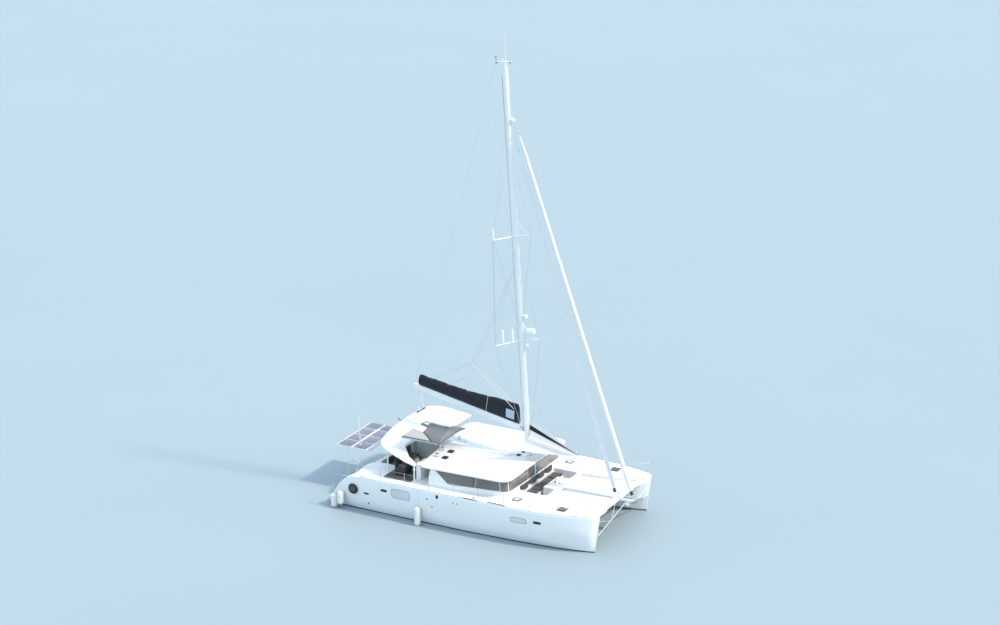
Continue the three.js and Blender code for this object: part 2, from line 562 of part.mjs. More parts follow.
// Davits reach aft from the bridgedeck and carry a framed solar panel, which rises a little to port.
const PANEL = { aft: -7700, fore: -6010, half: 1600, z: 2180, tilt: 0.0375 };
const panelRise = (y) => (y + PANEL.half) * PANEL.tilt;
const davitArm = (y) => pipe([
  [BRIDGE_AFT + 60, y, DECK_Z + 1], [BRIDGE_AFT - 200, y, DECK_Z + 250],
  [PANEL.fore, y, PANEL.z - 60 + panelRise(y)], [PANEL.aft + 60, y, PANEL.z - 60 + panelRise(y)],
], 32, 8);
const davitBar = (x) => rod(...[-1500, 1500].map((y) => [x, y, PANEL.z - 60 + panelRise(y)]), 25, 8);
place('davits', union([
  davitArm(-1250), davitArm(1250), davitBar(PANEL.fore + 80), davitBar(PANEL.aft + 300),
]).subtract(bridge.translate([0, 0, GAP])), STEEL);
place('solar_panel', box([PANEL.aft, 0, -27.5], [PANEL.fore - 20, 2 * PANEL.half, 8])
  .rotate([(Math.atan(PANEL.tilt) * 180) / Math.PI, 0, 0]).translate([0, -PANEL.half, PANEL.z]), CELLS);
place('stern_antenna', rod(
  [-6590, -1220, PANEL.z + 11.5 + panelRise(-1220)], [-6692, -1227, 3827], 40, 8, 16), VINYL);

// Rig. The mast leans aft, and its group carries what is fixed to it.
const rig = new THREE.Group();
rig.position.set(MAST_X, 0, MAST_FOOT_Z);
rig.rotation.y = -MAST_RAKE;
object.add(rig);
const MAST = { chord: 145, half: 105 };
const oval = (grow, sides = 20) => Array.from({ length: sides }, (_, i) => {
  const t = (i / sides) * 2 * Math.PI;
  return [(MAST.chord + grow) * Math.cos(t), (MAST.half + grow) * Math.sin(t)];
});
const mast = plate(oval(0), 12.3, MAST_LENGTH);
place('mast', mast, ALLOY, rig);
place('mast_step', plate(oval(45), -90, 0).translate([MAST_X, 0, MAST_FOOT_Z])
  .subtract(roof.translate([0, 0, GAP])), STEEL);

// Diamond spreaders: three struts each, two swept aft and one forward.
// Columns: height, aft, out, forward, lift.
const SPREADERS = [
  ['lower', 5600, 760, 1200, 930, 110],
  ['upper', 10560, 620, 1000, 800, 90],
];
const strut = (end) => rod([0, 0, 0], end, 38, 8, 26);
SPREADERS.forEach(([level, up, back, out, ahead, lift]) => {
  const collar = plate(oval(30), -60, 60);
  const arms = [[-back, -out, 0], [-back, out, 0], [ahead, 0, lift]].map(strut);
  const solid = union([collar, ...arms]).subtract(plate(oval(GAP), -400, 400));
  place(`spreaders_${level}`, solid, ALLOY, rig).position.z = up;
});
place('masthead_crane', union([
  plate(oval(12), GAP, 60), box([-480, -40, 5], [330, 40, 50]),
  rod([-430, 0, 20], [-430, 0, 260], 12, 6), rod([-430, -60, 250], [-430, 60, 250], 22, 6),
  rod([60, 0, 30], [60, 0, 1250], 14, 6, 5),
]), ALLOY, rig).position.z = MAST_LENGTH;
place('radar_dome', union([
  rod([0, 0, 0], [0, 0, 190], 240, 20), rod([0, 0, 185], [0, 0, 240], 240, 20, 170),
  box([-330, -60, -40], [0, 60, 8]),
]), VINYL, rig).position.set(MAST.chord + 330.4, 0, 5950);

// World position of a point given in the rig's own frame.
const onRig = (x, y, z) => new THREE.Vector3(x, y, z)
  .applyAxisAngle(new THREE.Vector3(0, 1, 0), -MAST_RAKE)
  .add(new THREE.Vector3(MAST_X, 0, MAST_FOOT_Z)).toArray();
const HOUNDS = 16150;
const CHAINPLATE = [950, 3650, DECK_Z + 1];
const WIRE = 9;
SIDES.forEach(({ name, sign }) => {
  const tips = SPREADERS.map(([, up, back, out]) => onRig(-back - 26, sign * (out + 30), up));
  const top = onRig(-20, sign * (MAST.half + WIRE), HOUNDS);
  place(`cap_shroud_${name}`, pipe([
    [CHAINPLATE[0], sign * CHAINPLATE[1], CHAINPLATE[2]], tips[0], tips[1], top], WIRE, 6)
    .subtract(mirrored(hull.translate([0, 0, GAP]), sign)), STEEL);
});

// Furled headsails round their stays. Columns: name, deck end, height at the mast, radius of the roll.
const STAYS = [
  ['headsail_inner', [6520, 0, 1600], 15700, 80],
  ['headsail_outer', [SPRIT.tip - 60, 0, 1600], 16600, 85],
];
STAYS.forEach(([name, foot, up, radius]) => {
  const top = onRig(MAST.chord + 9.6, 0, up);
  const along = (t) => foot.map((v, i) => v + t * (top[i] - v));
  place(name, union([
    rod(foot, top, WIRE, 6),
    rod(along(0.018), along(0.0265), 95, 12),
    rod(along(0.026), along(0.05), radius * 0.8, 10, radius),
    rod(along(0.0495), along(0.9), radius, 10, radius * 0.75),
    rod(along(0.8995), along(0.93), radius * 0.75, 10, 22),
  ]).subtract(foreFrame.translate([0, 0, GAP])), VINYL);
});

// Boom, swung to port, with the flaked mainsail in its bag.
const BOOM = { half: 95, depth: 140, rise: 0.066, swing: 0.25 };
const GOOSENECK = { up: 1300, back: 250, pin: 16, bore: 16.8, lug: 80, plate: 20 };
const DEGREES = 180 / Math.PI;
const boomPivot = onRig(-GOOSENECK.back, 0, GOOSENECK.up);
const mastClear = plate(oval(GAP), 0, MAST_LENGTH).rotate([0, -MAST_RAKE * DEGREES, 0])
  .translate([MAST_X - boomPivot[0], 0, MAST_FOOT_Z - boomPivot[2]]);
const gooseneck = union([
  ...[-1, 1].map((way) => {
    const level = way * (GOOSENECK.lug - GOOSENECK.plate / 2);
    return box([-40, -45, level - GOOSENECK.plate / 2], [260, 45, level + GOOSENECK.plate / 2]);
  }),
  rod([0, 0, -GOOSENECK.lug + 5], [0, 0, GOOSENECK.lug - 5], GOOSENECK.pin, 16),
  box([70, -60, -GOOSENECK.lug - 60], [260, 60, GOOSENECK.lug + 60]),
]).subtract(mastClear);
place('gooseneck', gooseneck.decompose().sort((a, b) => b.volume() - a.volume())[0], STEEL)
  .position.set(...boomPivot);

// The boom group turns about the gooseneck's upright pin.
const boomGroup = new THREE.Group();
boomGroup.position.set(...boomPivot);
boomGroup.rotation.z = -BOOM.swing;
object.add(boomGroup);
const boomRing = (x, scale) => [
  [-1, -0.6], [-0.6, -1], [0.6, -1], [1, -0.6], [1, 0.6], [0.6, 1], [-0.6, 1], [-1, 0.6],
].map(([u, v]) => [x, u * BOOM.half * scale, v * BOOM.depth * scale]);
const lifted = (solid) => solid.rotate([0, BOOM.rise * DEGREES, 0]);
place('boom', union([
  lifted(loft([boomRing(-130, 0.9), boomRing(-600, 1), boomRing(-BOOM_LENGTH, 0.92)])),
  box([-200, -28, -48], [0, 28, 48]), rod([0, 0, -48], [0, 0, 48], 40, 16),
]).subtract(rod([0, 0, -100], [0, 0, 100], GOOSENECK.bore, 16)), ALLOY, boomGroup);
const BAG = { fore: -330, aft: -6750, half: 165, high: 850, low: 600 };
const bagRing = (x, high) => [
  [-0.55, 0], [0.55, 0], [0.9, 0.25], [1, 0.5], [0.75, 0.82], [0.2, 1], [-0.2, 1], [-0.75, 0.82], [-1, 0.5],
  [-0.9, 0.25],
].map(([u, v]) => [x, u * BAG.half, BOOM.depth + GAP + v * high]);
place('sail_bag', lifted(loft([
  bagRing(BAG.fore, BAG.high * 1.12), bagRing(BAG.fore - 1500, BAG.high), bagRing(-3000, 700),
  bagRing(-4200, BAG.low * 1.03), bagRing(BAG.aft, BAG.low * 0.9),
])), CANVAS_NAVY, boomGroup);

// Awning: a ridge from the mast forward, one wing to each side.
const AWNING = {
  ridge: [1900, 4680], luff: [1980, 3760], spread: 120, nose: [4600, 3300], wing: [720, 1450, 3620],
};
const awningPoints = [
  [AWNING.ridge[0], 0, AWNING.ridge[1]], [AWNING.nose[0], 0, AWNING.nose[1]],
  [AWNING.luff[0], -AWNING.spread, AWNING.luff[1]], [AWNING.wing[0], -AWNING.wing[1], AWNING.wing[2]],
  [AWNING.luff[0], AWNING.spread, AWNING.luff[1]], [AWNING.wing[0], AWNING.wing[1], AWNING.wing[2]],
];
const mastWorld = mastClear.translate(boomPivot);
place('awning', sheet(awningPoints, [[0, 2, 1], [2, 3, 1], [0, 1, 4], [4, 1, 5]], 20)
  .subtract(mastWorld), CANVAS_WHITE);

// Fenders and the lifebuoy hang against the starboard side.
const fender = (radius, length) => union([
  rod([0, 0, -length / 2 + radius], [0, 0, length / 2 - radius], radius, 12),
  rod([0, 0, length / 2 - radius], [0, 0, length / 2], radius, 12, radius * 0.3),
  rod([0, 0, -length / 2], [0, 0, -length / 2 + radius], radius * 0.3, 12, radius),
]);
// Columns: name, x, y, z, radius, length.
const FENDERS = [
  ['fender_midship', -1830, -4090, 440, 150, 1000],
  ['fender_quarter_fore', -6040, -4090, 560, 170, 760],
  ['fender_quarter_aft', -6430, -4090, 330, 170, 760],
];
const starboardHull = mirrored(hull, -1);
FENDERS.forEach(([name, x, y, z, radius, length]) =>
  place(name, seated(fender(radius, length).translate([x, y, z]), starboardHull, [0, 1, 0]), VINYL));
const buoy = rod([0, 0, 0], [0, -70, 0], 260, 20).translate([-5370, -4000, 1120]);
place('lifebuoy', seated(buoy, starboardHull, [0, 1, 0]), DARK);

export default object;
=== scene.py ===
"""A cruising sailing catamaran on a pale studio floor. Metres: X forward, Y to port, Z up from the waterline."""
import math

import bpy
import numpy as np
from mathutils import Matrix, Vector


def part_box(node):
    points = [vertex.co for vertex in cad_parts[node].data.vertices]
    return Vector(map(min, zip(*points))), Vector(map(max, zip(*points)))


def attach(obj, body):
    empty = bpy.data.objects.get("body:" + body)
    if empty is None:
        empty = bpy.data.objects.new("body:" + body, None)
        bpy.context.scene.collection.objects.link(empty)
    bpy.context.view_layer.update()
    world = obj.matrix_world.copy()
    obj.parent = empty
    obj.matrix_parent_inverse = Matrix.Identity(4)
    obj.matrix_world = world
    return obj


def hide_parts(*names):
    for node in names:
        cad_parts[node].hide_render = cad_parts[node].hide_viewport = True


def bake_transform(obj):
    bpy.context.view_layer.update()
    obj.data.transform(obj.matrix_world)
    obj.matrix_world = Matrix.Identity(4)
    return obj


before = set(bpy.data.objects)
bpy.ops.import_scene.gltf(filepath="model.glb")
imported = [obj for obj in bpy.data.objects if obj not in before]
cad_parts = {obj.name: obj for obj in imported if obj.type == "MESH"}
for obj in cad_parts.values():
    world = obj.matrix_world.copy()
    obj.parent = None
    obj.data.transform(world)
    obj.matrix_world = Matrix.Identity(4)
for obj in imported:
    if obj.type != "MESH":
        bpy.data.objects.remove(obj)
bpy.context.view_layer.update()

# Driving dimensions
BOW_X = 6.98
HULL_Y = 2.88
INNER_HALF = 1.08
DECK_Z = 1.75
TUNNEL_Z = 0.74
BRIDGE = (-5.4, 3.9)
MAST_FOOT = np.array([1.94, 0.0, 2.89])
MAST_RAKE = 0.0818
MAST_LENGTH = 18.55
MAST_HALF = np.array([0.145, 0.105])
BOOM_SWING = 0.25
BOOM_RISE = 0.066
GAP = 0.0003  # what every seat leaves free
AXIS = 0.0005  # how close a lathe's profile comes to its axis
SIDES = {"starboard": -1, "port": 1}


# Arrays to meshes. A part is (points, faces).
def joined(parts):
    """Several parts as one."""
    points, faces, start = [], [], 0
    for part_points, part_faces in parts:
        points.append(np.asarray(part_points, float))
        faces += [[start + i for i in face] for face in part_faces]
        start += len(part_points)
    return np.vstack(points), faces


def moved(part, shift):
    return np.asarray(part[0]) + np.asarray(shift, float), part[1]


def turned(part, matrix):
    return np.asarray(part[0]) @ np.asarray(matrix).T, part[1]


def flipped(part):
    """The part's mirror image across the centreline, with its faces turned back outwards."""
    return np.asarray(part[0]) * [1, -1, 1], [face[::-1] for face in part[1]]


def sided(part, sign):
    return part if sign > 0 else flipped(part)


def about(axis, angle):
    """The matrix that turns by an angle about one of the axes x, y and z."""
    c, s = math.cos(angle), math.sin(angle)
    return np.array({
        "x": [[1, 0, 0], [0, c, -s], [0, s, c]],
        "y": [[c, 0, s], [0, 1, 0], [-s, 0, c]],
        "z": [[c, -s, 0], [s, c, 0], [0, 0, 1]],
    }[axis])


def skin(rows, ring=True, ends=True):
    """A surface through rows of points. ring closes each row on itself, and ends caps the first and last row."""
    rows = np.asarray(rows, float)
    count, across = rows.shape[:2]
    i, j = np.meshgrid(np.arange(count - 1), np.arange(across if ring else across - 1), indexing="ij")
    a, k = i * across + j, (j + 1) % across
    b = i * across + k
    faces = np.stack([a, b, b + across, a + across], axis=-1).reshape(-1, 4).tolist()
    if ends:
        faces.append(list(range(across))[::-1])
        faces.append([(count - 1) * across + n for n in range(across)])
    return rows.reshape(-1, 3), faces


def frames(path):
    """A tangent and two normals at each point of a path, the normals carried along with no twist."""
    path = np.asarray(path, float)
    tangent = np.gradient(path, axis=0)
    tangent /= np.linalg.norm(tangent, axis=1)[:, None]
    side = np.cross(tangent[0], [0, 0, 1] if abs(tangent[0][2]) < 0.9 else [1, 0, 0])
    normals = []
    for t in tangent:
        side = side - t * (side @ t)
        side /= np.linalg.norm(side)
        normals.append(side)
    normals = np.array(normals)
    return tangent, normals, np.cross(tangent, normals)


def bar(path, radius, sides=8):
    """A round bar: each ring is the path's point + radius (cos a n + sin a b)."""
    path = np.asarray(path, float)
    _, n, b = frames(path)
    a = np.linspace(0, 2 * np.pi, sides, endpoint=False)
    radius = np.broadcast_to(radius, len(path))[:, None, None]
    ring = np.cos(a)[None, :, None] * n[:, None] + np.sin(a)[None, :, None] * b[:, None]
    return skin(path[:, None] + radius * ring)


def smooth(points, steps=6, closed=False):
    """A curve through the points: uniform Catmull-Rom, with each stretch in so many steps."""
    p = np.asarray(points, float)
    q = np.vstack([p[-1:], p, p[:2]]) if closed else np.vstack([2 * p[0] - p[1], p, 2 * p[-1] - p[-2]])
    t = np.linspace(0, 1, steps, endpoint=False)[:, None]
    pieces = [
        0.5 * (2 * b + (c - a) * t + (2 * a - 5 * b + 4 * c - d) * t**2 + (3 * b - a - 3 * c + d) * t**3)
        for a, b, c, d in zip(q[:-3], q[1:-2], q[2:-1], q[3:])
    ]
    return np.vstack(pieces) if closed else np.vstack(pieces + [p[-1:]])


def lathe(profile, sides=24):
    """Rings of radius r at height z for each (r, z) of the profile, about the Z axis."""
    a = np.linspace(0, 2 * np.pi, sides, endpoint=False)
    r, z = np.asarray(profile, float).T
    return skin(np.stack([
        r[:, None] * np.cos(a), r[:, None] * np.sin(a), np.broadcast_to(z[:, None], (len(z), sides))], axis=-1))


def inset(outline, distance):
    """An anticlockwise outline moved inwards by a distance along the mean normal of its corners."""
    p = np.asarray(outline, float)
    ahead, back = np.roll(p, -1, axis=0) - p, p - np.roll(p, 1, axis=0)
    unit = [v / np.maximum(np.linalg.norm(v, axis=1), 1e-9)[:, None] for v in (ahead, back)]
    normals = [np.stack([-v[:, 1], v[:, 0]], axis=1) for v in unit]
    mean = normals[0] + normals[1]
    mean /= np.maximum(np.linalg.norm(mean, axis=1), 1e-9)[:, None]
    stretch = np.clip(np.sum(mean * normals[0], axis=1), 0.5, 1)[:, None]
    return p + mean / stretch * distance


def slab(outline, low, high, edge=0.01, steps=3):
    """An outline raised from low to high, with round edges: at angle a it is set in by edge (1 - cos a)."""
    a = np.linspace(0, np.pi / 2, steps + 1)
    rows = [(edge * (1 - np.cos(t)), high - edge * (1 - np.sin(t))) for t in a]
    rows = [(d, low + high - z) for d, z in rows[::-1]] + rows
    return skin([np.column_stack([inset(outline, d), np.full(len(outline), z)]) for d, z in rows])


def rectangle(x0, x1, y0, y1, corner=0.03, steps=4):
    """An anticlockwise rectangle with round corners."""
    corner = min(corner, (x1 - x0) / 2.01, (y1 - y0) / 2.01)
    t = np.linspace(0, np.pi / 2, steps + 1)
    centres = [(x1 - corner, y1 - corner), (x0 + corner, y1 - corner),
               (x0 + corner, y0 + corner), (x1 - corner, y0 + corner)]
    return np.vstack([
        np.column_stack([cx + corner * np.cos(t + k * np.pi / 2), cy + corner * np.sin(t + k * np.pi / 2)])
        for k, (cx, cy) in enumerate(centres)])


def block(low, high, corner=0.03, edge=0.01):
    """A box with round corners and edges."""
    return slab(rectangle(low[0], high[0], low[1], high[1], corner), low[2], high[2], edge)


def piece(name, part, material, body="boat", crease=35, replaces=()):
    """A mesh object from a part, smooth but for its sharp edges, that rides on a body."""
    mesh = bpy.data.meshes.new(name)
    mesh.from_pydata(np.asarray(part[0]).tolist(), [], part[1])
    mesh.materials.append(material)
    mesh.shade_smooth()
    mesh.set_sharp_from_angle(angle=math.radians(crease))
    obj = bpy.data.objects.new(name, mesh)
    bpy.context.scene.collection.objects.link(obj)
    if body:
        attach(obj, body)
    if replaces:
        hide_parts(*replaces)
    return obj


def carved(obj, cutters):
    """The object less the cutters, made with one boolean and kept as plain mesh."""
    mesh = bpy.data.meshes.new("cutter")
    points, faces = joined(cutters)
    mesh.from_pydata(points.tolist(), [], faces)
    cutter = bpy.data.objects.new("cutter", mesh)
    bpy.context.scene.collection.objects.link(cutter)
    modifier = obj.modifiers.new("cut", "BOOLEAN")
    modifier.object, modifier.solver, modifier.use_self = cutter, "EXACT", True
    result = bpy.data.meshes.new_from_object(obj.evaluated_get(bpy.context.evaluated_depsgraph_get()))
    obj.modifiers.clear()
    obj.data = result
    bpy.data.objects.remove(cutter)
    result.shade_smooth()
    result.set_sharp_from_angle(angle=math.radians(30))
    return obj


def outward(points, faces):
    """Faces turned to point outwards, so that the volume of the fans from the middle is above zero."""
    points = np.asarray(points, float)
    p, volume = points - points.mean(axis=0), 0.0
    for size in {len(face) for face in faces}:
        f = np.array([face for face in faces if len(face) == size])
        for k in range(1, size - 1):
            volume += np.einsum("ij,ij->", p[f[:, 0]], np.cross(p[f[:, k]], p[f[:, k + 1]]))
    return points, faces if volume > 0 else [face[::-1] for face in faces]


def patch(front, back):
    """A closed plate between two grids of points, with the four edges round them."""
    front, back = np.asarray(front, float), np.asarray(back, float)
    n, m = front.shape[:2]
    i, j = np.meshgrid(np.arange(n - 1), np.arange(m - 1), indexing="ij")
    a = i * m + j
    face = np.stack([a, a + m, a + m + 1, a + 1], axis=-1).reshape(-1, 4)
    rim = np.array([*(k * m for k in range(n - 1)), *((n - 1) * m + k for k in range(m - 1)),
                    *(k * m + m - 1 for k in range(n - 1, 0, -1)), *range(m - 1, 0, -1)])
    after = np.roll(rim, -1)
    sides = np.stack([after, rim, rim + n * m, after + n * m], axis=1)
    faces = np.vstack([face, face[:, ::-1] + n * m, sides]).tolist()
    return outward(np.vstack([front.reshape(-1, 3), back.reshape(-1, 3)]), faces)


def normals_of(grid):
    """Unit normals of a grid: the cross product of its two slopes."""
    n = np.cross(np.gradient(grid, axis=0), np.gradient(grid, axis=1))
    return n / np.maximum(np.linalg.norm(n, axis=-1), 1e-9)[..., None]


def tube_loop(rows):
    """Rows of a ring's points, closed on themselves both ways."""
    rows = np.asarray(rows, float)
    count, across = rows.shape[:2]
    i, j = np.meshgrid(np.arange(count), np.arange(across), indexing="ij")
    a, b = i * across + j, i * across + (j + 1) % across
    c, d = (i + 1) % count * across + (j + 1) % across, (i + 1) % count * across + j
    return outward(rows.reshape(-1, 3), np.stack([a, b, c, d], axis=-1).reshape(-1, 4).tolist())


def bent(points, radius, sides=10, steps=5, corner=0.12):
    """A bent tube: each corner of the path becomes a quadratic curve that starts a corner's length before it."""
    p = np.asarray(points, float)
    path = [p[:1]]
    t = np.linspace(0, 1, steps + 1)[:, None]
    for a, b, c in zip(p[:-2], p[1:-1], p[2:]):
        la, lc = np.linalg.norm(a - b), np.linalg.norm(c - b)
        s, e = b + (a - b) * min(corner, la / 2) / la, b + (c - b) * min(corner, lc / 2) / lc
        path.append(s * (1 - t) ** 2 + 2 * b * t * (1 - t) + e * t**2)
    return bar(np.vstack(path + [p[-1:]]), radius, sides)


def stick(a, b, radius, end=None, sides=8):
    """A straight round bar, thinner or thicker at its end."""
    a, b = np.asarray(a, float), np.asarray(b, float)
    return bar(a + np.linspace(0, 1, 3)[:, None] * (b - a), np.linspace(radius, end or radius, 3), sides)


def shell(outline, spine, top, thick, steps=8, rings=14):
    """A plate whose rings run from a spine out to an outline, under a height function, with a half round edge."""
    outline, spine = np.asarray(outline, float), np.asarray(spine, float)
    e = thick / 2
    rim = inset(outline, e)
    out = (outline - rim) / e
    rows = []
    shares = np.sin(np.linspace(0.01, 1, rings) * np.pi / 2)
    for f in shares:
        xy = spine + (rim - spine) * f
        rows.append(np.column_stack([xy, top(*xy.T)]))
    for a in np.linspace(np.pi / 2, -np.pi / 2, steps)[1:-1]:
        rows.append(np.column_stack([rim + out * e * math.cos(a), top(*rim.T) - e + e * math.sin(a)]))
    for f in shares[::-1]:
        xy = spine + (rim - spine) * f
        rows.append(np.column_stack([xy, top(*xy.T) - thick]))
    return outward(*skin(rows))


def dense(outline, spacing=0.12, radius=0.0):
    """An outline with points at a spacing, its corners cut by a radius where one is given."""
    p = np.asarray(outline, float)
    if radius:
        t = np.linspace(0, 1, 7)[:, None]
        rows = []
        for a, b, c in zip(np.roll(p, 1, axis=0), p, np.roll(p, -1, axis=0)):
            la, lc = np.linalg.norm(a - b), np.linalg.norm(c - b)
            s, e = b + (a - b) * min(radius, la / 2.2) / la, b + (c - b) * min(radius, lc / 2.2) / lc
            rows.append(s * (1 - t) ** 2 + 2 * b * t * (1 - t) + e * t**2)
        p = np.vstack(rows)
    ahead = np.roll(p, -1, axis=0)
    parts = []
    for a, b in zip(p, ahead):
        count = max(1, int(np.linalg.norm(b - a) / spacing))
        parts.append(a + np.linspace(0, 1, count, endpoint=False)[:, None] * (b - a))
    return np.vstack(parts)


def settled(grid, thick):
    """A sheet's plate: the grid, and the same grid set back by its thickness along its normals."""
    return patch(grid, grid - normals_of(grid) * thick)


def cloth_piece(name, grid, material, thick, body="boat", replaces=(), down=True):
    """A sheet of cloth from a grid: a plate of the given thickness, with the grid turned over first when down is set
    and it faces down.

    A cut that fills less, as the awning's kite may, is declared with LEAST_FILL of it, which is more than it
    measures.
    """
    grid = np.asarray(grid, float)
    if down and normals_of(grid)[..., 2].mean() < 0:
        grid = grid[:, ::-1]
    obj = piece(name, settled(grid, thick), material, body, replaces=replaces, crease=80)
    return obj


def pad(low, high, crown=0.03, pinch=0.02, count=22):
    """A cushion: a rounded box whose top swells by a crown and whose sides pull in between its corners.

    The plan is a squared circle, (|cos a|^0.28, |sin a|^0.28). Rings of it close the foot, climb the rounded side
    and close over the crown, whose height is crown (1 - x^4) (1 - y^4).
    """
    low, high = np.asarray(low, float), np.asarray(high, float)
    size, mid = (high - low) / 2, (high + low) / 2
    lap = np.linspace(0, 2 * np.pi, 4 * count, endpoint=False)
    power, shoulder = 0.28, 0.86
    c, s = np.cos(lap), np.sin(lap)
    square = np.column_stack([np.sign(c) * np.abs(c) ** power, np.sign(s) * np.abs(s) ** power])
    rows = []
    for a in np.linspace(-np.pi / 2, np.pi / 2, 13):
        share = math.cos(a) ** 0.3 if abs(a) < np.pi / 2 - 1e-6 else 0.0
        rows.append((share, math.copysign(abs(math.sin(a)) ** 0.6, a)))
    rings = []
    inner = np.linspace(0.06, shoulder, 7)
    for f in inner:
        rings.append((square * f, -1.0, f))
    for share, level in rows[1:-1]:
        rings.append((square * (shoulder + 0.14 * share), level, 1.0))
    for f in inner[::-1]:
        rings.append((square * f, 1.0, f))
    out = []
    for xy, level, f in rings:
        side = np.minimum(np.abs(xy[:, 0]), np.abs(xy[:, 1]))
        pull = 1 - pinch / size[:2].min() * (1 - side) ** 2 * (f > 0.8)
        swell = crown * (1 - xy[:, 0] ** 4) * (1 - xy[:, 1] ** 4) * (level > 0)
        out.append(np.column_stack([
            mid[0] + xy[:, 0] * size[0] * pull, mid[1] + xy[:, 1] * size[1] * pull,
            mid[2] + level * (size[2] - (crown / 2 if level > 0 else 0)) + swell - crown / 2 * (level > 0)]))
    return outward(*skin(out))


# Materials
class Shade:
    """A node material under construction, on the object's own coordinates."""

    def __init__(self, name, rough=0.4, metal=0.0, **sockets):
        self.material = bpy.data.materials.new(name)
        self.material.use_nodes = True
        self.tree = self.material.node_tree
        self.shader = self.tree.nodes["Principled BSDF"]
        self.place = self.node("ShaderNodeTexCoord").outputs["Object"]
        self.set(Roughness=rough, Metallic=metal, **{k.replace("_", " "): v for k, v in sockets.items()})

    def set(self, **sockets):
        for key, value in sockets.items():
            self.put(self.shader.inputs[key], value)

    def put(self, socket, value):
        if isinstance(value, bpy.types.NodeSocket):
            self.tree.links.new(value, socket)
        elif isinstance(value, (tuple, list)) and len(value) == 3 and socket.type == "RGBA":
            socket.default_value = (*value, 1)
        else:
            socket.default_value = value

    def node(self, kind, values=(), **settings):
        made = self.tree.nodes.new(kind)
        for key, value in settings.items():
            setattr(made, key, value)
        for key, value in dict(values).items():
            self.put(made.inputs[key], value)
        return made

    def stretch(self, scale):
        """The coordinates scaled by a vector."""
        return self.node("ShaderNodeMapping", {"Vector": self.place, "Scale": scale}).outputs[0]

    def noise(self, scale, detail=3, where=None):
        return self.node("ShaderNodeTexNoise", {
            "Vector": where or self.place, "Scale": scale, "Detail": detail}).outputs[0]

    def span(self, value, low, high, to_low=0.0, to_high=1.0):
        return self.node("ShaderNodeMapRange", {
            0: value, 1: low, 2: high, 3: to_low, 4: to_high}).outputs[0]

    def math(self, operation, a, b=0.0):
        return self.node("ShaderNodeMath", {0: a, 1: b}, operation=operation).outputs[0]

    def mix(self, share, a, b):
        made = self.node("ShaderNodeMix", data_type="RGBA")
        for index, value in ((0, share), (6, a), (7, b)):
            self.put(made.inputs[index], value)
        return made.outputs[2]

    def axes(self, vector=None):
        return self.node("ShaderNodeSeparateXYZ", {0: vector or self.place}).outputs

    def facing_up(self):
        """1 where the surface faces up."""
        normal = self.node("ShaderNodeNewGeometry").outputs["Normal"]
        return self.span(self.axes(normal)[2], 0.9, 0.97)

    def weave(self, count):
        """Threads crossing at so many to the metre: the larger of two sets of sine ridges."""
        x, y, z = self.axes()
        ridges = [self.math("SINE", self.math("MULTIPLY", self.math("ADD", a, b), count * math.tau))
                  for a, b in ((x, z), (y, z))]
        return self.math("MAXIMUM", *ridges)

    def bump(self, height, strength=0.2, distance=0.005):
        self.set(Normal=self.node("ShaderNodeBump", {
            "Height": height, "Strength": strength, "Distance": distance}).outputs[0])

    def done(self, color):
        self.set(**{"Base Color": color})
        return self.material


def tinted(color, factor):
    return tuple(c * factor for c in color)


def gelcoat(name, color):
    """Glossy moulded skin, faintly uneven, with a fine dotted grip where it faces up."""
    s = Shade(name, Coat_Weight=0.3, Coat_Roughness=0.08)
    cloud = s.noise(1.3)
    up = s.facing_up()
    smudge = s.span(s.noise(6.0, 6), 0.55, 0.8)
    base = s.mix(cloud, color, tinted(color, 0.965))
    base = s.mix(s.math("MULTIPLY", smudge, 0.18), base, tinted(color, 0.86))
    s.set(Roughness=s.span(s.math("ADD", cloud, up), 0.3, 1.5, 0.2, 0.55))
    grip = s.math("MULTIPLY", s.noise(420.0, 1), up)
    s.bump(s.math("ADD", grip, s.math("MULTIPLY", s.noise(3.0, 2), 0.6)), 0.12, 0.003)
    return s.done(s.mix(s.math("MULTIPLY", up, 0.5), base, tinted(color, 0.95)))


def hull_paint():
    """White topsides over a dark stripe at the waterline and dark bottom paint, all by height."""
    s = Shade("hull_paint", Coat_Weight=0.3, Coat_Roughness=0.06)
    z = s.axes()[2]
    white = s.mix(s.noise(0.8), WHITE, tinted(WHITE, 0.96))
    streaks = s.span(s.noise(2.0, 5, s.stretch((4.0, 4.0, 0.35))), 0.52, 0.8)
    low = s.span(z, 0.9, 0.05, 0.0, 0.35)
    white = s.mix(s.math("MULTIPLY", streaks, low), white, (0.6, 0.62, 0.6))
    up = s.facing_up()
    white = s.mix(s.math("MULTIPLY", up, 0.5), white, tinted(WHITE, 0.95))
    stripe = s.mix(s.span(z, 0.058, 0.062), (0.03, 0.045, 0.07), white)
    bottom = s.mix(s.noise(5.0, 5), (0.035, 0.06, 0.11), (0.06, 0.085, 0.13))
    s.set(Roughness=s.span(s.math("ADD", s.noise(1.1), up), 0.3, 1.5, 0.16, 0.55))
    s.bump(s.math("MULTIPLY", s.noise(420.0, 1), up), 0.12, 0.003)
    return s.done(s.mix(s.span(z, 0.0, 0.004), bottom, stripe))


def metal(name, color, rough, grain=60.0):
    """Brushed or polished metal with fine lengthwise marks."""
    s = Shade(name, metal=1.0)
    marks = s.noise(grain, 3, s.stretch((1.0, 1.0, 0.1)))
    s.set(Roughness=s.span(marks, 0.3, 0.7, rough * 0.75, rough * 1.4))
    s.bump(marks, 0.04, 0.001)
    return s.done(s.mix(s.noise(7.0), color, tinted(color, 0.86)))


def coating(name, color, rough, wear=0.12, **sockets):
    """Paint or moulded plastic with slight unevenness."""
    s = Shade(name, **sockets)
    cloud = s.noise(9.0, 5)
    s.set(Roughness=s.span(cloud, 0.3, 0.7, rough * 0.8, min(1.0, rough * 1.25)))
    s.bump(s.noise(160.0, 2), 0.05, 0.002)
    return s.done(s.mix(cloud, color, tinted(color, 1 - wear)))


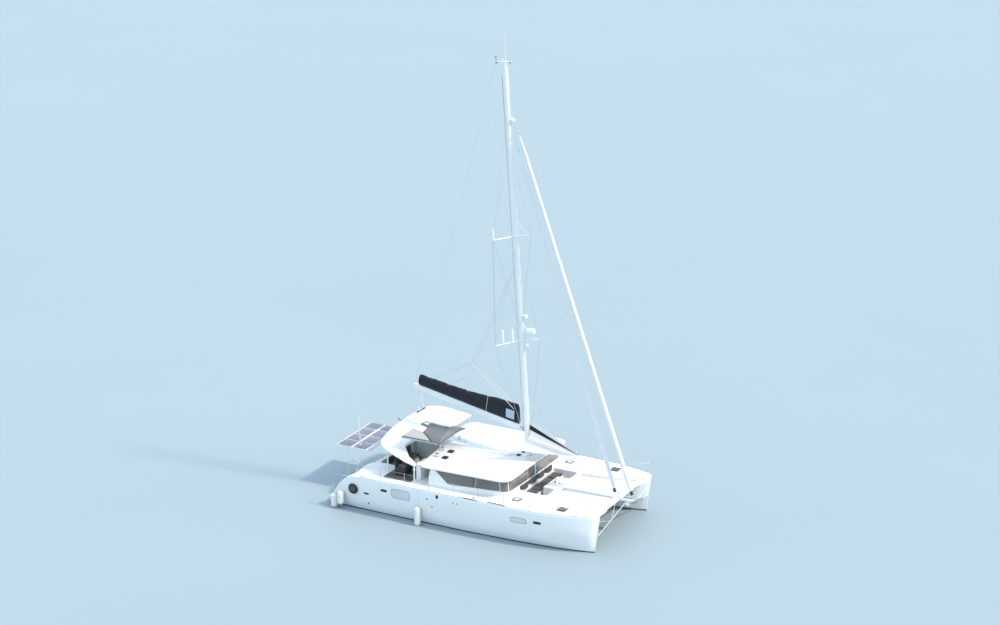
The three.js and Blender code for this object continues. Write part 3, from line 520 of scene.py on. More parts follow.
def cloth(name, color, threads=160.0, fade=0.2, sheen=0.3):
    """Woven canvas: fine crossing threads, broad creases and uneven fading."""
    s = Shade(name, rough=0.85, Sheen_Weight=sheen, Sheen_Roughness=0.5)
    weave = s.weave(threads)
    crease = s.noise(4.0, 6, s.stretch((1.0, 1.0, 2.0)))
    s.bump(s.math("ADD", s.math("MULTIPLY", weave, 0.15), s.math("MULTIPLY", crease, 3.0)), 0.3, 0.01)
    faded = s.mix(s.span(s.noise(2.2, 5), 0.3, 0.75), color, tinted(color, 1 - fade))
    return s.done(s.mix(s.span(weave, -1.0, 1.0, 0.0, 0.2), faded, tinted(color, 0.8)))


def glazing(name, color, rough=0.06):
    """Dark tinted glass: glossy, with a slow change of tint and faint salt marks."""
    s = Shade(name, Coat_Weight=0.6, Coat_Roughness=0.03)
    s.set(Roughness=s.span(s.noise(12.0, 6), 0.45, 0.8, rough, rough * 3))
    return s.done(s.mix(s.noise(0.9, 2), color, tinted(color, 0.6)))


def solar_cells():
    """Square cells with pale grid lines, on the panel's own X and Y."""
    s = Shade("solar_cells", rough=0.25, Coat_Weight=0.3, Coat_Roughness=0.06)
    x, y, _ = s.axes()
    cell = 0.156

    def line(axis, width):
        share = s.math("FRACT", s.math("DIVIDE", s.math("ADD", axis, 20.0), width))
        return s.math("GREATER_THAN", s.math("ABSOLUTE", s.math("SUBTRACT", share, 0.5)), 0.47)

    grid = s.math("MAXIMUM", line(x, cell), line(y, cell))
    blue = s.mix(s.noise(5.0, 2), (0.085, 0.08, 0.125), (0.11, 0.105, 0.155))
    return s.done(s.mix(grid, blue, (0.29, 0.29, 0.37)))


def netting():
    """A trampoline net: square meshes of pale cords, with painted shade in the gaps between them."""
    s = Shade("netting", rough=0.8)
    x, y, _ = s.axes()
    pitch = 0.04
    lines = [s.math("ABSOLUTE", s.math("SINE", s.math("MULTIPLY", a, math.pi / pitch))) for a in (x, y)]
    cords = s.math("SUBTRACT", 1.0, s.math("MINIMUM", *lines))
    s.bump(cords, 0.6, 0.004)
    # Pale where the cords run; the grey between them is painted shade.
    return s.done(s.mix(s.span(cords, 0.25, 0.7), (0.52, 0.52, 0.52), (0.82, 0.81, 0.79)))


def rope(name, color, fleck):
    """Braided line with flecks of a second colour."""
    s = Shade(name, rough=0.8)
    s.bump(s.weave(90.0), 0.4, 0.002)
    return s.done(s.mix(s.span(s.noise(120.0, 1), 0.5, 0.62), color, fleck))


WHITE = (0.80, 0.81, 0.82)
GELCOAT = gelcoat("gelcoat_white", WHITE)
HULL = hull_paint()
ANTIFOUL = coating("bottom_paint", (0.05, 0.075, 0.12), 0.8, 0.4)
ALLOY = coating("white_spar_paint", (0.78, 0.79, 0.80), 0.3, 0.06, Coat_Weight=0.2)
BARE = metal("anodised_alloy", (0.60, 0.61, 0.62), 0.35)
STEEL = metal("polished_steel", (0.72, 0.73, 0.74), 0.18)
WIRE = metal("rigging_wire", (0.66, 0.67, 0.68), 0.4)
BRONZE = metal("propeller_bronze", (0.52, 0.36, 0.17), 0.4)
ENGINE = coating("engine_grey", (0.36, 0.38, 0.40), 0.5, 0.3)
TINTED = glazing("window_glass", (0.18, 0.168, 0.155))
# Near-white glass for the portlights, hatch panes and canopy skylight: its paleness is a painted reflection of the sky.
PALE_SKY_GLASS = glazing("glass_painted_sky_reflection", (0.78, 0.80, 0.82), 0.1)
ACRYLIC = coating("hatch_acrylic", (0.075, 0.073, 0.075), 0.45, 0.3)
NAVY = cloth("sail_cover_cloth", (0.007, 0.008, 0.018), 120.0, 0.4, 0.04)
SAIL_STACK = cloth("folded_sail_cloth", (0.05, 0.048, 0.048), 40.0, 0.4)
PATCH_BLUE = cloth("pale_patch_cloth", (0.44, 0.50, 0.56), 140.0, 0.1)
# Grey canvas, made darker and bluer than the cloth's own grey as painted shade.
GREY = cloth("grey_cloth", (0.10, 0.105, 0.125))
LIGHT_GREY = cloth("light_grey_cloth", (0.17, 0.17, 0.19))
BEIGE = cloth("beige_cloth", (0.36, 0.36, 0.35), fade=0.08)
# Off-white canvas, kept darker than the gelcoat partly as painted shade on the awning.
AWNING_WHITE = cloth("awning_cloth", (0.70, 0.68, 0.68), 140.0, 0.05)
SAILCLOTH = cloth("sail_cloth", (0.74, 0.75, 0.77), 60.0, 0.07)
CUSHION = cloth("cushion_cloth", (0.028, 0.030, 0.038), 200.0)
BLACK_CLOTH = cloth("black_line_cloth", (0.01, 0.01, 0.012), 140.0)
WINDOW_FRAME = coating("frame_grey", (0.16, 0.145, 0.13), 0.5, 0.1)
CHARCOAL = coating("charcoal_vinyl", (0.03, 0.03, 0.034), 0.6, 0.3)
# Dark grey sole panels: painted shade for the cockpit floors, the wells and the side decks under the hardtop.
SHADE_SOLE = coating("sole_painted_shade", (0.10, 0.095, 0.092), 0.7, 0.35)
NET = netting()
PLASTIC = coating("white_plastic", (0.78, 0.78, 0.77), 0.35, 0.05)
VINYL = coating("fender_vinyl", (0.76, 0.76, 0.74), 0.45, 0.08, Coat_Weight=0.1)
BLACK = coating("black_plastic", (0.02, 0.02, 0.022), 0.5, 0.3)
CELLS = solar_cells()
ROPE = rope("white_rope", (0.66, 0.66, 0.64), (0.25, 0.3, 0.45))


# Camera, light and floor
EYE = (43.277, -82.373, 37.765)
YAW, PITCH, ROLL = math.radians(27.54), math.radians(16.843), math.radians(-0.606)
FOCAL_PIXELS, FRAME_PIXELS, SENSOR = 2087.5, 1000, 36.0
SUN_FROM, SUN_COLOR, SUN_POWER, SUN_DEGREES = (0.678, 0.083, 0.731), (1.0, 0.87, 0.7), 3.7, 4
SKY_COLOR, SKY_POWER = (0.70, 0.86, 1.0, 1), 1.45
FLOOR_COLORS, FLOOR_REACH = ((0.26, 0.33, 0.38), (0.28, 0.35, 0.40)), 900


def studio():
    """The photograph's camera, a low warm sun from ahead, a pale sky and a floor at the waterline."""
    camera = bpy.data.objects.new("camera", bpy.data.cameras.new("camera"))
    camera.data.sensor_width = SENSOR
    camera.data.lens = FOCAL_PIXELS / FRAME_PIXELS * SENSOR
    camera.data.clip_end = 3000
    camera.location = EYE
    right = np.array([math.cos(YAW), math.sin(YAW), 0])
    ahead = np.array([-math.sin(YAW) * math.cos(PITCH), math.cos(YAW) * math.cos(PITCH), -math.sin(PITCH)])
    up = np.cross(right, ahead)
    c, s = math.cos(ROLL), math.sin(ROLL)
    axes = np.array([c * right - s * up, s * right + c * up, -ahead]).T
    world = np.eye(4)
    world[:3, :3], world[:3, 3] = axes, EYE
    camera.matrix_world = Matrix(world.tolist())
    bpy.context.scene.collection.objects.link(camera)
    bpy.context.scene.camera = camera

    sun = bpy.data.objects.new("sun", bpy.data.lights.new("sun", "SUN"))
    sun.data.energy, sun.data.angle, sun.data.color = SUN_POWER, math.radians(SUN_DEGREES), SUN_COLOR
    length = math.dist(SUN_FROM, (0, 0, 0))
    x, y, z = (v / length for v in SUN_FROM)
    sun.rotation_euler = (0, math.acos(z), math.atan2(y, x))
    bpy.context.scene.collection.objects.link(sun)

    sky = bpy.data.worlds.new("sky")
    sky.use_nodes = True
    background = sky.node_tree.nodes["Background"]
    background.inputs["Color"].default_value = SKY_COLOR
    background.inputs["Strength"].default_value = SKY_POWER
    bpy.context.scene.world = sky
    bpy.context.scene.view_settings.view_transform = "Standard"

    s = Shade("studio_floor", rough=0.6)
    floor_mesh = bpy.data.meshes.new("floor")
    floor_mesh.from_pydata([(x * FLOOR_REACH, y * FLOOR_REACH, 0) for x, y in ((-1, -1), (1, -1), (1, 1), (-1, 1))],
                           [], [(0, 1, 2, 3)])
    floor_mesh.materials.append(s.done(s.mix(s.noise(0.05), *FLOOR_COLORS)))
    floor = bpy.data.objects.new("floor", floor_mesh)
    bpy.context.scene.collection.objects.link(floor)


# Hulls. Columns: x, half breadth outboard and inboard at the deck, half breadth on the waterline,
# lowest point, height of the sheer, share of the stem's rake.
HULL_TABLE = np.array([
    [-6.98, 0.80, 0.78, 0.48, -0.04, 0.32, 0],
    [-6.64, 0.85, 0.83, 0.53, -0.13, 0.60, 0],
    [-6.20, 0.94, 0.93, 0.59, -0.24, 1.21, 0],
    [-5.75, 0.99, 1.01, 0.62, -0.34, 1.61, 0],
    [-5.40, 1.015, INNER_HALF, 0.635, -0.40, 1.74, 0],
    [-5.15, 1.02, INNER_HALF, 0.64, -0.43, DECK_Z, 0],
    [-3.20, 1.04, INNER_HALF, 0.67, -0.56, DECK_Z, 0],
    [0.00, 1.04, INNER_HALF, 0.68, -0.64, DECK_Z, 0],
    [2.20, 1.02, INNER_HALF, 0.61, -0.62, DECK_Z, 0],
    [3.90, 0.94, INNER_HALF, 0.50, -0.56, DECK_Z, 0],
    [4.90, 0.83, 0.96, 0.40, -0.49, 1.765, 0.1],
    [5.90, 0.62, 0.72, 0.26, -0.38, 1.785, 0.45],
    [6.60, 0.37, 0.44, 0.13, -0.27, 1.805, 0.8],
    [6.85, 0.21, 0.24, 0.07, -0.22, 1.812, 0.95],
    [BOW_X, 0.04, 0.04, 0.025, -0.18, 1.815, 1],
])
STEM_RAKE, FOREFOOT = 0.12, 1.6
GUNWALE = 0.035
STEPS = [(-7.03, -6.56, 0.25), (-6.56, -6.23, 0.54), (-6.23, -5.90, 0.83), (-5.90, -5.56, 1.13)]
STEP_HALF = 0.69
ENGINE_LID = {"aft": -5.44, "fore": -4.38, "half": 0.51, "thick": 0.04}
BOW_LID = {"aft": 4.66, "fore": 5.40, "half": 0.32, "thick": 0.03, "top": 1.775}


def eased(table, x):
    """The table's columns at x: cubics through the rows, with slopes that never overshoot."""
    keys, values = table[:, 0], table[:, 1:]
    h = np.diff(keys)[:, None]
    d = np.diff(values, axis=0) / h
    slope = np.vstack([d[:1], np.where(d[:-1] * d[1:] > 0, 2 * d[:-1] * d[1:] / (d[:-1] + d[1:] + 1e-12), 0), d[-1:]])
    x = np.atleast_1d(x)
    i = np.clip(np.searchsorted(keys, x) - 1, 0, len(keys) - 2)
    t = ((x - keys[i]) / h[i, 0])[:, None]
    return (values[i] * (1 + 2 * t) * (1 - t) ** 2 + slope[i] * h[i] * t * (1 - t) ** 2
            + values[i + 1] * t**2 * (3 - 2 * t) + slope[i + 1] * h[i] * t**2 * (t - 1))


def hull_ring(x, out, inner, wet, low, sheer, raked):
    """One section: a smooth curve from the gunwale under the keel line, then straight inboard faces."""
    chine = min(TUNNEL_Z, sheer * 0.5)
    g = min(GUNWALE, out * 0.4)
    t = np.linspace(0, np.pi / 2, 5)
    corner = np.column_stack([out - g + g * np.sin(t), sheer - g + g * np.cos(t)])
    side = smooth([
        (out, sheer - g), (out * 0.985 + wet * 0.015, sheer * 0.72 + 0.04), (out * 0.93, sheer * 0.5),
        (out * 0.45 + wet * 0.55, sheer * 0.2), (wet, 0), (wet * 0.86, low * 0.45), (wet * 0.55, low * 0.82),
        (0, low), (-wet * 0.55, low * 0.82), (-wet * 0.86, low * 0.45), (-wet, 0),
        (-wet - (inner - wet) * 0.3, chine * 0.7), (-inner, chine)], 4)
    profile = np.vstack([corner[:-1], side, [(-inner, sheer)]])
    y, z = profile.T
    back = STEM_RAKE * (sheer - z) + FOREFOOT * np.maximum(0, -z)
    return np.column_stack([x - raked * back, y + HULL_Y, z])


def hull_shape():
    """Sections from stern to stem, then a round nose: at angle a the last section shrinks by cos a."""
    xs = np.concatenate([np.linspace(-6.98, -5.15, 24), np.linspace(-5.0, 3.9, 38), np.linspace(4.05, BOW_X, 36)])
    rings = [hull_ring(x, *row) for x, row in zip(xs, eased(HULL_TABLE, xs))]
    last = rings[-1]
    for a in np.linspace(0.3, np.pi / 2 * 0.95, 4):
        nose = last.copy()
        nose[:, 0] += 0.035 * math.sin(a)
        nose[:, 1] = HULL_Y + (last[:, 1] - HULL_Y) * math.cos(a)
        rings.append(nose)
    return skin(rings)


def hull_side(x, z):
    """The y of the hull's outboard side at x and a height."""
    ring = hull_ring(x, *eased(HULL_TABLE, x)[0])
    outer = ring[4:24]
    order = np.argsort(outer[:, 2])
    return np.interp(z, outer[order, 2], outer[order, 1])


def hulls():
    cuts = [block((aft, HULL_Y - STEP_HALF, floor), (fore + 0.001, HULL_Y + STEP_HALF, 2.2), 0.002, 0.001)
            for aft, fore, floor in STEPS]
    lid = ENGINE_LID
    cuts.append(block((lid["aft"], HULL_Y - lid["half"], DECK_Z - lid["thick"]),
                      (lid["fore"], HULL_Y + lid["half"], 2.0), 0.05, 0.001))
    cuts.append(block((lid["aft"] + 0.08, HULL_Y - 0.43, -0.18), (lid["fore"] - 0.08, HULL_Y + 0.43, 1.9), 0.05, 0.001))
    lid = BOW_LID
    cuts.append(block((lid["aft"], HULL_Y - lid["half"], lid["top"] - lid["thick"]),
                      (lid["fore"], HULL_Y + lid["half"], 2.0), 0.05, 0.001))
    cuts.append(block((lid["aft"] + 0.06, HULL_Y - 0.26, 0.7), (lid["fore"] - 0.06, HULL_Y + 0.26, 1.9), 0.05, 0.001))
    hull = hull_shape()
    for side, sign in SIDES.items():
        obj = piece(f"hull_skin_{side}", sided(hull, sign), HULL, replaces=[f"hull_{side}"])
        carved(obj, [sided(cut, sign) for cut in cuts])


# Middle: bridgedeck, cabin and roofs
BRIDGE_HALF = 1.7997
SALOON_FLOOR, COCKPIT_FLOOR, WELL_FLOOR = 0.85, 0.96, 1.25
COCKPIT_AFT, COCKPIT_FORE = -5.2, -1.76
DOOR_Y, DOOR_Z = (-0.75, 0.15), (0.9, 2.48)
CABIN = {"aft": -1.76, "side": 3.15, "front": 2.32, "corner": 0.43, "wall": 0.06, "lean": 0.07, "taper": 0.33}
ROOF_EDGE, ROOF_CROWN, ROOF_HALF, ROOF_THICK = 2.68, 0.19, 3.28, 0.11
HARDTOP_TOP, HARDTOP_THICK = 2.95, 0.09


def bridgedeck():
    """A slab between the hulls with the saloon, both cockpits and the doorway sunk into it."""
    deck = piece("bridgedeck_skin", block((BRIDGE[0], -BRIDGE_HALF, TUNNEL_Z), (BRIDGE[1], BRIDGE_HALF, DECK_Z),
                                          0.004, 0.002), GELCOAT, replaces=["bridgedeck"])
    high = 2.4
    wells = [
        block((-1.64, -1.7, SALOON_FLOOR), (2.18, 1.7, high), 0.06, 0.001),
        block((COCKPIT_AFT, -1.7, COCKPIT_FLOOR), (COCKPIT_FORE, 1.7, high), 0.1, 0.001),
        block((2.42, -1.7, WELL_FLOOR), (3.1, 1.7, high), 0.1, 0.001),
        block((COCKPIT_FORE - 0.02, DOOR_Y[0], DOOR_Z[0]), (-1.6, DOOR_Y[1], high), 0.01, 0.001),
        *(block((2.42, min(s * 0.76, s * 1.7), WELL_FLOOR), (3.72, max(s * 0.76, s * 1.7), high), 0.16, 0.001)
          for s in SIDES.values()),
    ]
    carved(deck, wells)


def cabin_ring(inset_by, steps=12):
    """The cabin's plan: a straight front, quarter circle corners, sides that taper in ahead of the middle."""
    c = CABIN
    side, front = c["side"] - inset_by, c["front"] - inset_by
    t = np.linspace(0, np.pi / 2, steps)
    corner = np.column_stack([front - 0.45 + c["corner"] * np.cos(t),
                              side - c["taper"] - c["corner"] * (1 - np.sin(t))])
    flank = smooth([corner[-1], (0.8, side - c["taper"] * 0.56), (-0.3, side), (-1.0, side),
                    (c["aft"] + 2 * inset_by, side)], 6)[1:]
    half = np.vstack([[(front, 0.9)], corner, flank])
    return np.vstack([half, half[::-1] * [1, -1]])


def roof_top(x, y):
    return ROOF_EDGE + ROOF_CROWN * (1 - (y / ROOF_HALF) ** 2) + 0 * x


def cabin_at(z, out=0.0):
    """The cabin's plan at a height: it leans in by 70 mm over 1.13 m. Moved out by a distance."""
    lean = CABIN["lean"] * (np.asarray(z) - DECK_Z) / 1.13
    return cabin_ring(lean - out)


def cabin():
    low = DECK_Z + GAP
    rows = []
    for inset_by in (0.0, CABIN["wall"]):
        for f in np.linspace(0, 1, 6):
            plan = cabin_at(low + f * 0.93, -inset_by)
            top = roof_top(*plan.T) - ROOF_THICK - GAP
            rows.append(np.column_stack([plan, low + f * (top - low)]))
    rows = rows[:6] + rows[:5:-1]
    walls = piece("cabin_skin", tube_loop(rows), GELCOAT, replaces=["cabin_walls"])
    cuts = [block((CABIN["aft"] - 0.1, DOOR_Y[0], DOOR_Z[0]), (-1.4, DOOR_Y[1], DOOR_Z[1]), 0.01, 0.001)]
    carved(walls, cuts)


def on_cabin(reach, z, out):
    """Points on the cabin's side at shares of its length from the middle of the front, one row to each height."""
    rows = []
    for height in np.atleast_1d(z):
        plan = cabin_at(height, out)
        half = np.vstack([[(plan[0, 0], 0)], plan[:len(plan) // 2]])
        run = np.concatenate([[0], np.cumsum(np.linalg.norm(np.diff(half, axis=0), axis=1))])
        rows.append(np.column_stack([np.interp(reach, run, half[:, 0]), np.interp(reach, run, half[:, 1]),
                                     np.full(len(reach), height)]))
    return np.array(rows)


# Window panes: reach along the wall from the front's middle, at the foot and at the head.
WINDOW_LOW = 2.0
PANES = [(0.06, 0.78, 0.06, 0.78), (0.83, 2.56, 0.83, 2.56), (2.63, 2.98, 2.63, 2.98),
         (3.05, 4.3, 3.05, 4.3), (4.33, 5.62, 4.33, 6.3)]


def window_grid(pane, out, grow=0.0, count=36, levels=8):
    """Points from the pane's foot to just under the roof. Between two heights the leaning wall is straight."""
    f = np.linspace(0, 1, levels)[:, None]
    ends = [np.linspace(pane[k] - grow, pane[k + 1] + grow, count) for k in (0, 2)]
    reach = ends[0] + f * (ends[1] - ends[0])
    foot, head = (np.array([on_cabin(row, z, out)[0] for row in reach]) for z in (2.0, 2.6))
    top = roof_top(head[..., 0], head[..., 1]) - ROOF_THICK - 0.012 + grow * 0.5
    z = WINDOW_LOW - grow + f * (top - WINDOW_LOW + grow)
    return foot + (z[..., None] - 2.0) / 0.6 * (head - foot)


def windows():
    """Tinted panes in one band up to the roof, with black rubber edges. The aft end slants."""
    for side, sign in SIDES.items():
        glass, rubber = [], []
        for pane in PANES:
            for parts, grow, out in ((glass, 0.0, 0.0124), (rubber, 0.01, 0.006)):
                parts.append(sided(patch(window_grid(pane, out, grow), window_grid(pane, 0.0004, grow)), sign))
        piece(f"window_pane_{side}", joined(glass[2:]), TINTED, replaces=[f"window_{side}"])
        piece(f"window_pane_front_{side}", joined(glass[:2]), TINTED, replaces=["window_front"])
        piece(f"window_rubber_{side}", joined(rubber), BLACK)


ROOF_OUTLINE = [
    (-2.15, -3.13), (-2.02, -3.28), (2.0, -3.2), (2.33, -3.08), (2.5, -2.8), (2.56, -2.3), (2.6, 0),
    (2.56, 2.3), (2.5, 2.8), (2.33, 3.08), (2.0, 3.2), (-2.65, 3.28), (-2.9, 2.9), (-2.85, 1.9),
    (-2.62, 0.2), (-2.3, -1.0)]


def roof():
    outline = dense(ROOF_OUTLINE, 0.1, 0.22)
    spine = np.column_stack([np.clip(outline[:, 0], -1.4, 1.4), np.zeros(len(outline))])
    piece("roof_skin", shell(outline, spine, roof_top, ROOF_THICK), GELCOAT, replaces=["cabin_roof"])


HARDTOP_OUTLINE = np.array([
    (-3.0, 3.48), (-3.74, 3.62), (-4.2, 3.76), (-4.66, 3.85), (-5.14, 3.79), (-5.5, 3.56), (-5.66, 3.07),
    (-5.67, 2.47), (-5.65, 1.64), (-5.62, 0.91), (-5.52, 0.06), (-5.38, -0.75), (-5.16, -1.59), (-5.01, -1.97),
    (-4.78, -2.31), (-4.52, -2.56), (-4.04, -2.91), (-3.55, -3.16), (-2.95, -3.33), (-2.4, -3.24),
    (-2.38, -3.08), (-2.82, -2.8), (-2.96, -2.78), (-3.51, -2.1), (-3.7, -1.9), (-3.76, -0.9), (-3.0, -0.7)])
POSTS = [(-4.15, -2.74, 2.93), (-2.47, -3.16, 2.58), (-4.15, 2.95, 2.93), (-3.1, 3.33, 2.93)]


def hardtop_top(x, y):
    """Flat, with the starboard arm bent down by 350 mm times the square of the share of its length."""
    along = np.clip((x + 4.0) / 1.6, 0, 1) * (y < -2.0)
    return HARDTOP_TOP - 0.35 * along**2


def hardtop():
    """One plate whose edge rounds over, and its posts. Its rings shrink towards a line down its middle."""
    outline = dense(HARDTOP_OUTLINE, 0.08, 0.09)
    arm = (outline[:, 0] > -3.9) & (outline[:, 1] < -2.0)
    spine = np.column_stack([np.where(arm, outline[:, 0] - 0.05, -4.5), np.clip(outline[:, 1], -2.2, 2.9)])
    spine[arm, 1] = np.interp(spine[arm, 0], [-3.9, -3.5, -3.0, -2.4], [-2.4, -2.7, -3.02, -3.16])
    top = shell(outline, spine, hardtop_top, HARDTOP_THICK)
    posts = [stick((x, y, DECK_Z + GAP), (x, y, z), 0.036, sides=20) for x, y, z in POSTS]
    piece("hardtop_skin", joined([top, *posts]), GELCOAT, replaces=["hardtop"])


# Helm
HELM_Y, WHEEL = -2.42, (-2.8, -2.42, 2.48)


def helm():
    """A rounded console with screens on its aft face, a moulded seat with a cushion, and a five spoked wheel."""
    y0, y1 = HELM_Y - 0.45, HELM_Y + 0.45
    console = slab(rectangle(-2.56, -2.3, y0, y1, 0.07, 6), DECK_Z + GAP, 2.56, 0.03, 5)
    piece("helm_console_skin", console, GELCOAT, replaces=["helm_console"])
    screens = [block((-2.567, HELM_Y - 0.36, 2.24), (-2.558, HELM_Y - 0.02, 2.48), 0.002, 0.002),
               block((-2.567, HELM_Y + 0.06, 2.3), (-2.558, HELM_Y + 0.36, 2.46), 0.002, 0.002)]
    piece("helm_screens", joined(screens), BLACK)
    base = slab(rectangle(-3.72, -3.22, HELM_Y - 0.43, HELM_Y + 0.43, 0.09, 6), DECK_Z + GAP, 2.17, 0.03, 5)
    back = slab(rectangle(-3.72, -3.63, HELM_Y - 0.43, HELM_Y + 0.43, 0.04, 5), DECK_Z + 0.1, 2.7, 0.03, 5)
    piece("helm_seat_skin", joined([base, back]), CHARCOAL, replaces=["helm_seat"])
    seat = piece("helm_cushion", pad((-3.62, HELM_Y - 0.41, 2.168), (-3.23, HELM_Y + 0.41, 2.25)), CUSHION)
    ring = np.linspace(0, 2 * np.pi, 64, endpoint=False)
    a = np.linspace(0, 2 * np.pi, 12, endpoint=False)
    rim = tube_loop(np.stack([
        0.015 * np.sin(a)[None] * np.ones((64, 1)),
        (0.33 + 0.015 * np.cos(a)[None]) * np.sin(ring)[:, None],
        (0.33 + 0.015 * np.cos(a)[None]) * np.cos(ring)[:, None]], axis=-1))
    spokes = [stick((0, 0, 0), (0, 0.326 * math.sin(t), 0.326 * math.cos(t)), 0.011, 0.008)
              for t in np.arange(5) * 2 * math.pi / 5]
    hub = turned(lathe([(AXIS, -0.03), (0.024, -0.03), (0.034, -0.02), (0.034, 0.2), (AXIS, 0.2397)], 20),
                 about("y", math.pi / 2))
    piece("wheel_rim", moved(rim, WHEEL), BLACK, "wheel", replaces=["steering_wheel"])
    piece("wheel_spokes", moved(joined([*spokes, hub]), WHEEL), STEEL, "wheel")


CANOPY = {"aft": -3.55, "fore": -1.5, "y0": -2.45, "y1": 0.06, "z": 3.56, "rise": 0.09, "tube": 0.015}


def canopy_level(u, v):
    """The canopy's height at shares of its length and breadth: a crown across, less two shallow dips."""
    return CANOPY["z"] + 0.041 + CANOPY["rise"] * (1 - (2 * v - 1) ** 4) \
        - 0.018 * np.sin(np.pi * u * 2) ** 2 * np.sin(np.pi * v)


def helm_canopy():
    """Grey canvas stretched over two bows: it crowns across, dips between the tubes and folds down at its hems."""
    c = CANOPY
    corners = [(c["aft"], c["y0"]), (c["fore"], c["y0"]), (c["fore"], c["y1"]), (c["aft"], c["y1"])]
    loop = dense(corners, 0.2, 0.18)
    n = len(loop)
    a = np.linspace(0, 2 * np.pi, 10, endpoint=False)
    ahead = np.roll(loop, -1, axis=0) - np.roll(loop, 1, axis=0)
    ahead /= np.linalg.norm(ahead, axis=1)[:, None]
    side = np.column_stack([ahead[:, 1], -ahead[:, 0]])
    frame_ring = tube_loop(np.concatenate([
        loop[:, None] + c["tube"] * np.cos(a)[None, :, None] * side[:, None],
        np.broadcast_to((c["z"] + c["tube"] * np.sin(a))[None, :, None], (n, 10, 1))], axis=-1))
    legs = [
        [(c["fore"], c["y0"] + 0.02, c["z"]), (c["fore"], c["y0"] + 0.02, roof_top(0, c["y0"]) + 0.002)],
        [(c["fore"], c["y1"] - 0.02, c["z"]), (c["fore"], c["y1"] - 0.02, roof_top(0, c["y1"]) + 0.002)],
        [(c["aft"] + 0.02, c["y1"] - 0.02, c["z"]), (c["aft"] + 0.02, c["y1"] - 0.02, HARDTOP_TOP + 0.002)],
        [(c["aft"] + 0.02, c["y0"] + 0.02, c["z"]),
         (c["aft"] + 0.02, -2.9, hardtop_top(c["aft"] + 0.02, -2.9) + 0.002)]]
    feet = [moved(lathe([(AXIS, 0), (0.04, 0), (0.04, 0.006), (0.02, 0.012), (0.018, 0.04), (AXIS, 0.04)], 16),
                  leg[1] - np.array([0, 0, 0.002])) for leg in map(np.array, legs)]
    piece("canopy_tubes", joined([frame_ring, *(stick(*leg, c["tube"], sides=12) for leg in legs), *feet]), STEEL,
          replaces=["canopy_frame"])
    u, v = np.meshgrid(np.linspace(0, 1, 31), np.linspace(0, 1, 37), indexing="ij")
    x = c["aft"] - 0.02 + u * (c["fore"] - c["aft"] + 0.04)
    y = c["y0"] - 0.02 + v * (c["y1"] - c["y0"] + 0.04)
    hem = 0.055 * (np.clip((np.abs(2 * u - 1) - 0.96) / 0.04, 0, 1) + np.clip((np.abs(2 * v - 1) - 0.96) / 0.04, 0, 1))
    z = canopy_level(u, v) - np.minimum(hem, 0.055)
    # The canopy's grey is partly painted shade: darker and bluer than the canvas itself.
    cloth_piece("helm_canopy_cloth", np.stack([x, y, z], axis=-1), GREY, 0.003,
                replaces=["helm_canopy"])

    def on_canopy(corners, name, material, count=12, up=0.004, soft=True):
        """A panel on top: bilinear between four corners in plan, at the canopy's height."""
        s, r = np.meshgrid(np.linspace(0, 1, count), np.linspace(0, 1, count), indexing="ij")
        p = [np.array(q) for q in corners]
        xy = ((1 - s) * (1 - r))[..., None] * p[0] + (s * (1 - r))[..., None] * p[1] \
            + (s * r)[..., None] * p[2] + ((1 - s) * r)[..., None] * p[3]
        f, g = (xy[..., 0] - x[0, 0]) / (x[-1, 0] - x[0, 0]), (xy[..., 1] - y[0, 0]) / (y[0, -1] - y[0, 0])
        grid = np.dstack([xy, canopy_level(f, g) + up])
        if soft:
            cloth_piece(name, grid, material, 0.003)
        else:
            piece(name, settled(grid, 0.003), material)

    on_canopy([(-3.52, -0.72), (-3.0, -0.94), (-3.1, 0.02), (-3.53, 0.03)], "canopy_skylight_frame", WINDOW_FRAME,
              soft=False)
    on_canopy([(-3.42, -0.6), (-3.12, -0.72), (-3.18, -0.42), (-3.44, -0.38)], "canopy_skylight_starboard",
              PALE_SKY_GLASS, up=0.008, soft=False)
    on_canopy([(-3.44, -0.26), (-3.2, -0.3), (-3.22, -0.1), (-3.44, -0.08)], "canopy_skylight_port",
              PALE_SKY_GLASS, up=0.008, soft=False)
    on_canopy([(-3.48, -1.5), (-2.88, -1.63), (-3.0, -1.0), (-3.53, -0.78)], "canopy_white_panel", SAILCLOTH)
    on_canopy([(-3.5, -2.38), (-2.08, -2.38), (-2.88, -1.66), (-3.5, -1.54)], "canopy_beige_panel", BEIGE)
    # A black diagonal line laid over the canvas.
    on_canopy([(-2.85, -1.7), (-2.03, -2.4), (-1.97, -2.36), (-2.8, -1.62)], "canopy_black_line", BLACK_CLOTH, up=0.009)
    on_canopy([(-3.02, -0.42), (-2.06, -0.5), (-2.15, 0.03), (-3.05, 0.03)], "canopy_port_panel", SAILCLOTH)
    on_canopy([(-1.56, -2.39), (-1.49, -2.39), (-1.5, -0.02), (-2.14, 0.03)], "canopy_fore_band", LIGHT_GREY)
    rolled = np.array([(-3.06 + 1.02 * f, -0.4 - 0.12 * f, c["z"] + 0.17 + 0.01 * math.sin(9 * f))
                       for f in np.linspace(0, 1, 16)])
    thick = 0.055 * np.interp(np.linspace(0, 1, 16), [0, 0.06, 0.94, 1], [0.5, 1, 1, 0.5])
    piece("canopy_roll", bar(rolled, thick, 18), SAILCLOTH, crease=60)


